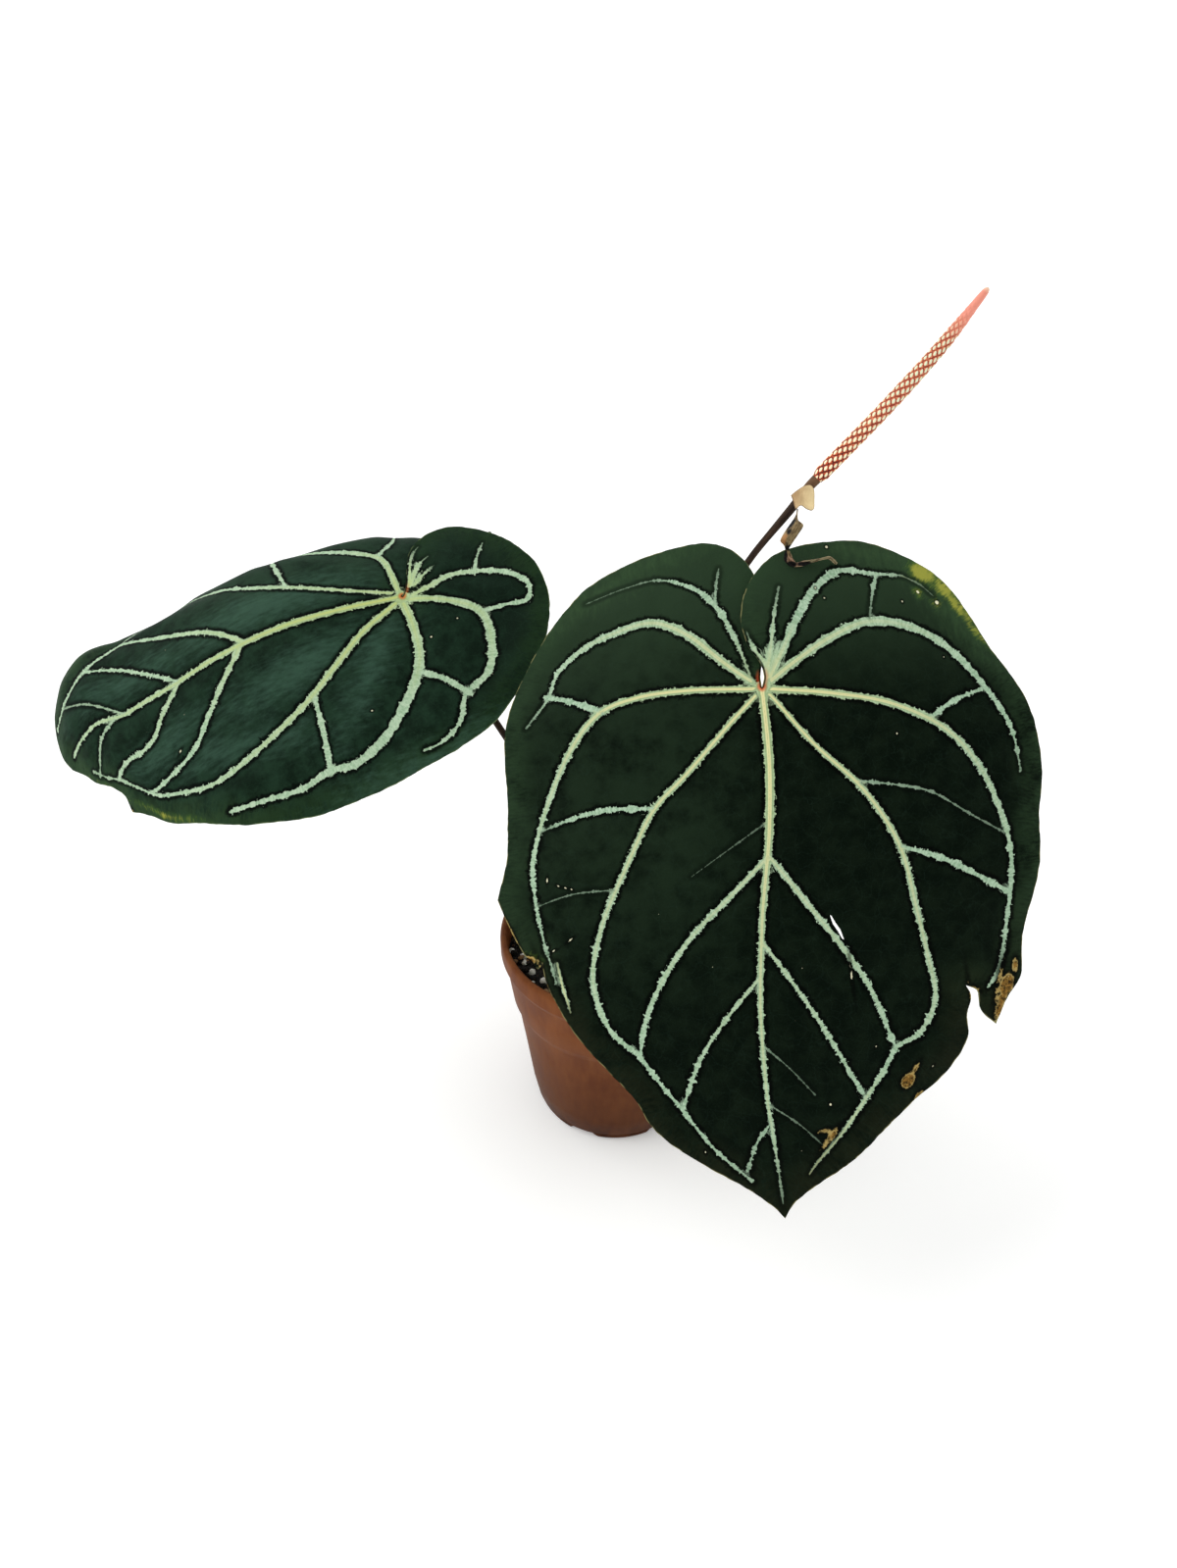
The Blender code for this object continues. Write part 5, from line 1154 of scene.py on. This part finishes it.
cup = 3.5 - 0.055 * off_stalk ** 2 * np.where(off_stalk > 0, 0.7, 2.0) + 0.25 * np.sin(1.1 * x + 0.6 * y)
cup = cup + 0.6 * smoothstep((-y - 4.6) / 2.6) - 0.9 * smoothstep((y - 0.8) / 2.0)

straw_finish, wire = new_finish("straw_collar", Specular_IOR_Level=0.25)
grown = wire.field("grain", "Vector")
ribs, patches = grown.stretch(2.6, 0.35, 1.0).cloud(1.0, 3.0), grown.cloud(2.4, 3.0)
low_right = wire.vectors("DOT_PRODUCT", grown, (0.16, -0.05, 0.0), output="Value")
tone = (0.4 * ribs + 0.4 * patches + 0.6 * low_right + 0.1).ease(0.1, 1.0).blend("a88860", "e0c998")
tone = ((wire.field("worn") + 0.6 * (patches - 0.5)).ease(0.55, 1.0) * 0.8).blend(tone, "6e5234")
wire.feed(Base_Color=tone, Roughness=0.5 + 0.3 * patches, Normal=ribs.bump(0.0002))
withered_piece("spathe_collar", np.stack([x, y, cup + COLLAR_THICK], axis=1), np.stack([x, y, cup], axis=1),
               collar_faces, straw_finish, "spathe", grain=np.stack([x, y, 0 * x], axis=1),
               worn=smoothstep(1 - nearest(collar_plan, collar_loop)[0] / 0.8))

# Left and right edges of the hanging strip, from the collar down to the thread that lies on the leaf
STRIP_LEFT = [(-2.6, -7.2, 3.4), (-2.9, -9.3, 3.6), (-4.3, -11.7, 4.2), (-6.7, -15.1, 4.4),
              (-8.2, -17.5, 3.6), (-8.9, -19.5, 2.0), (-7.4, -20.7, 0.0), (-6.2, -22.2, -2.5),
              (-6.1, -24.0, -5.5), (-5.9, -25.8, -6.8), (-4.1, -27.7, -7.4), (-1.7, -28.4, -7.6),
              (1.5, -28.2, -7.6), (4.8, -27.0, -7.6), (8.8, -25.8, -7.6), (12.4, -25.2, -7.6),
              (14.5, -26.8, -7.6), (15.7, -27.4, -7.6)]
STRIP_RIGHT = [(-2.0, -7.2, 3.4), (-2.3, -9.3, 3.8), (-2.2, -11.9, 4.8), (-0.3, -14.3, 5.4),
               (-2.2, -17.7, 4.4), (-3.5, -19.7, 2.6), (-4.4, -21.2, 0.2), (-4.7, -22.2, -2.5),
               (-3.3, -24.0, -5.5), (-2.2, -25.6, -6.8), (-1.1, -26.7, -7.2), (0.1, -26.5, -7.4),
               (2.4, -25.8, -7.6), (5.6, -25.4, -7.6), (9.2, -24.8, -7.6), (12.7, -24.0, -7.6),
               (15.1, -25.6, -7.6), (16.1, -26.8, -7.6)]
# Hollows between its folds, which the material darkens to near black as painted shade, and one ochre patch:
# (x, y, length, width, turn)
STRIP_HOLLOWS = [(-5.1, -13.4, 4.8, 1.7, 39), (-6.1, -16.8, 2.2, 1.4, 20), (-1.5, -17.2, 6.6, 0.8, 31),
                 (-5.7, -24.6, 5.0, 1.5, -8), (-5.5, -21.9, 1.6, 2.6, 0), (-3.2, -27.6, 2.4, 4.6, 0),
                 (3.2, -27.3, 1.9, 7.6, 0), (-3.4, -9.9, 1.3, 1.0, 0)]
STRIP_OCHRE = [(-7.7, -19.1, 3.6, 1.7, 10)]
STRIP_COLUMNS = 21
STRIP_THICK = 0.42
knots, at = np.arange(18.0), np.arange(0, 17.001, 1 / 7)
strip_left, strip_right = (hermite(knots, edge, np.gradient(edge, axis=0), at)
                           for edge in (np.array(STRIP_LEFT), np.array(STRIP_RIGHT)))
front, grain, worn, hollow, ochre = [], [], [], [], []
for k, (left, right) in enumerate(zip(strip_left, strip_right)):
    width = np.linalg.norm(right - left)
    for t in 2 * np.arange(STRIP_COLUMNS) / (STRIP_COLUMNS - 1) - 1:
        spot = left + (right - left) * (t + 1) / 2
        fold = 0.35 * width * (1 - t * t) + 0.16 * min(width, 4) * math.sin(4.2 * t + 0.9 + k / 16)
        rough = 0.5 * noise.noise((t * width / 1.6, k / 9, 3.0))
        rough += 0.2 * noise.noise((t * width / 0.7, k / 4, 8.0))
        hollow.append(patch(spot[None, :2], STRIP_HOLLOWS)[0])
        ochre.append(patch(spot[None, :2], STRIP_OCHRE)[0])
        sunk = smoothstep(0.4 - hollow[-1])
        front.append(spot + (0, 0, fold + rough * min(width, 3) / 3 - 0.9 * sunk * min(width, 4) / 4))
        grain.append((t * width / 2, k * 0.45, 0.0))
        worn.append(abs(t))

dried_finish, wire = new_finish("dried_bract", Specular_IOR_Level=0.2)
grown = wire.field("grain", "Vector")
fibres, patches = grown.stretch(2.2, 0.3, 1.0).cloud(1.0, 4.0), grown.cloud(2.2, 3.0)
skin = grown.part("Y").ease(24.0, 28.0).blend("8f7c56", "a07e66")
skin = grown.part("Y").ease(36.0, 40.0).blend(skin, "8f8564")
tone = (0.55 * fibres + 0.45 * patches).ease(0.36, 0.6).blend("4a3622", skin)
tone = ((wire.field("worn") + 0.7 * (patches - 0.5)).ease(0.75, 1.0) * 0.5).blend(tone, "b5a07c")
tone = ((wire.field("ochre") + 1.4 * (patches - 0.5)).ease(0.4, -0.4) * 0.7).blend(tone, "b27a48")
# Painted shade: the hollows between the folds are coloured near black
tone = (wire.field("hollow") + 0.9 * (fibres - 0.5)).ease(0.35, -0.2).blend(tone, "060403")
wire.feed(Base_Color=tone, Roughness=0.6 + 0.2 * patches, Normal=(fibres + patches).bump(0.0004))
withered_piece("spathe_strip", front, np.array(front) - (0, 0, STRIP_THICK),
               [(a, d, c, b) for a, b, c, d in grid_faces(len(strip_left), STRIP_COLUMNS)], dried_finish,
               grain=grain, worn=worn, hollow=hollow, ochre=ochre)
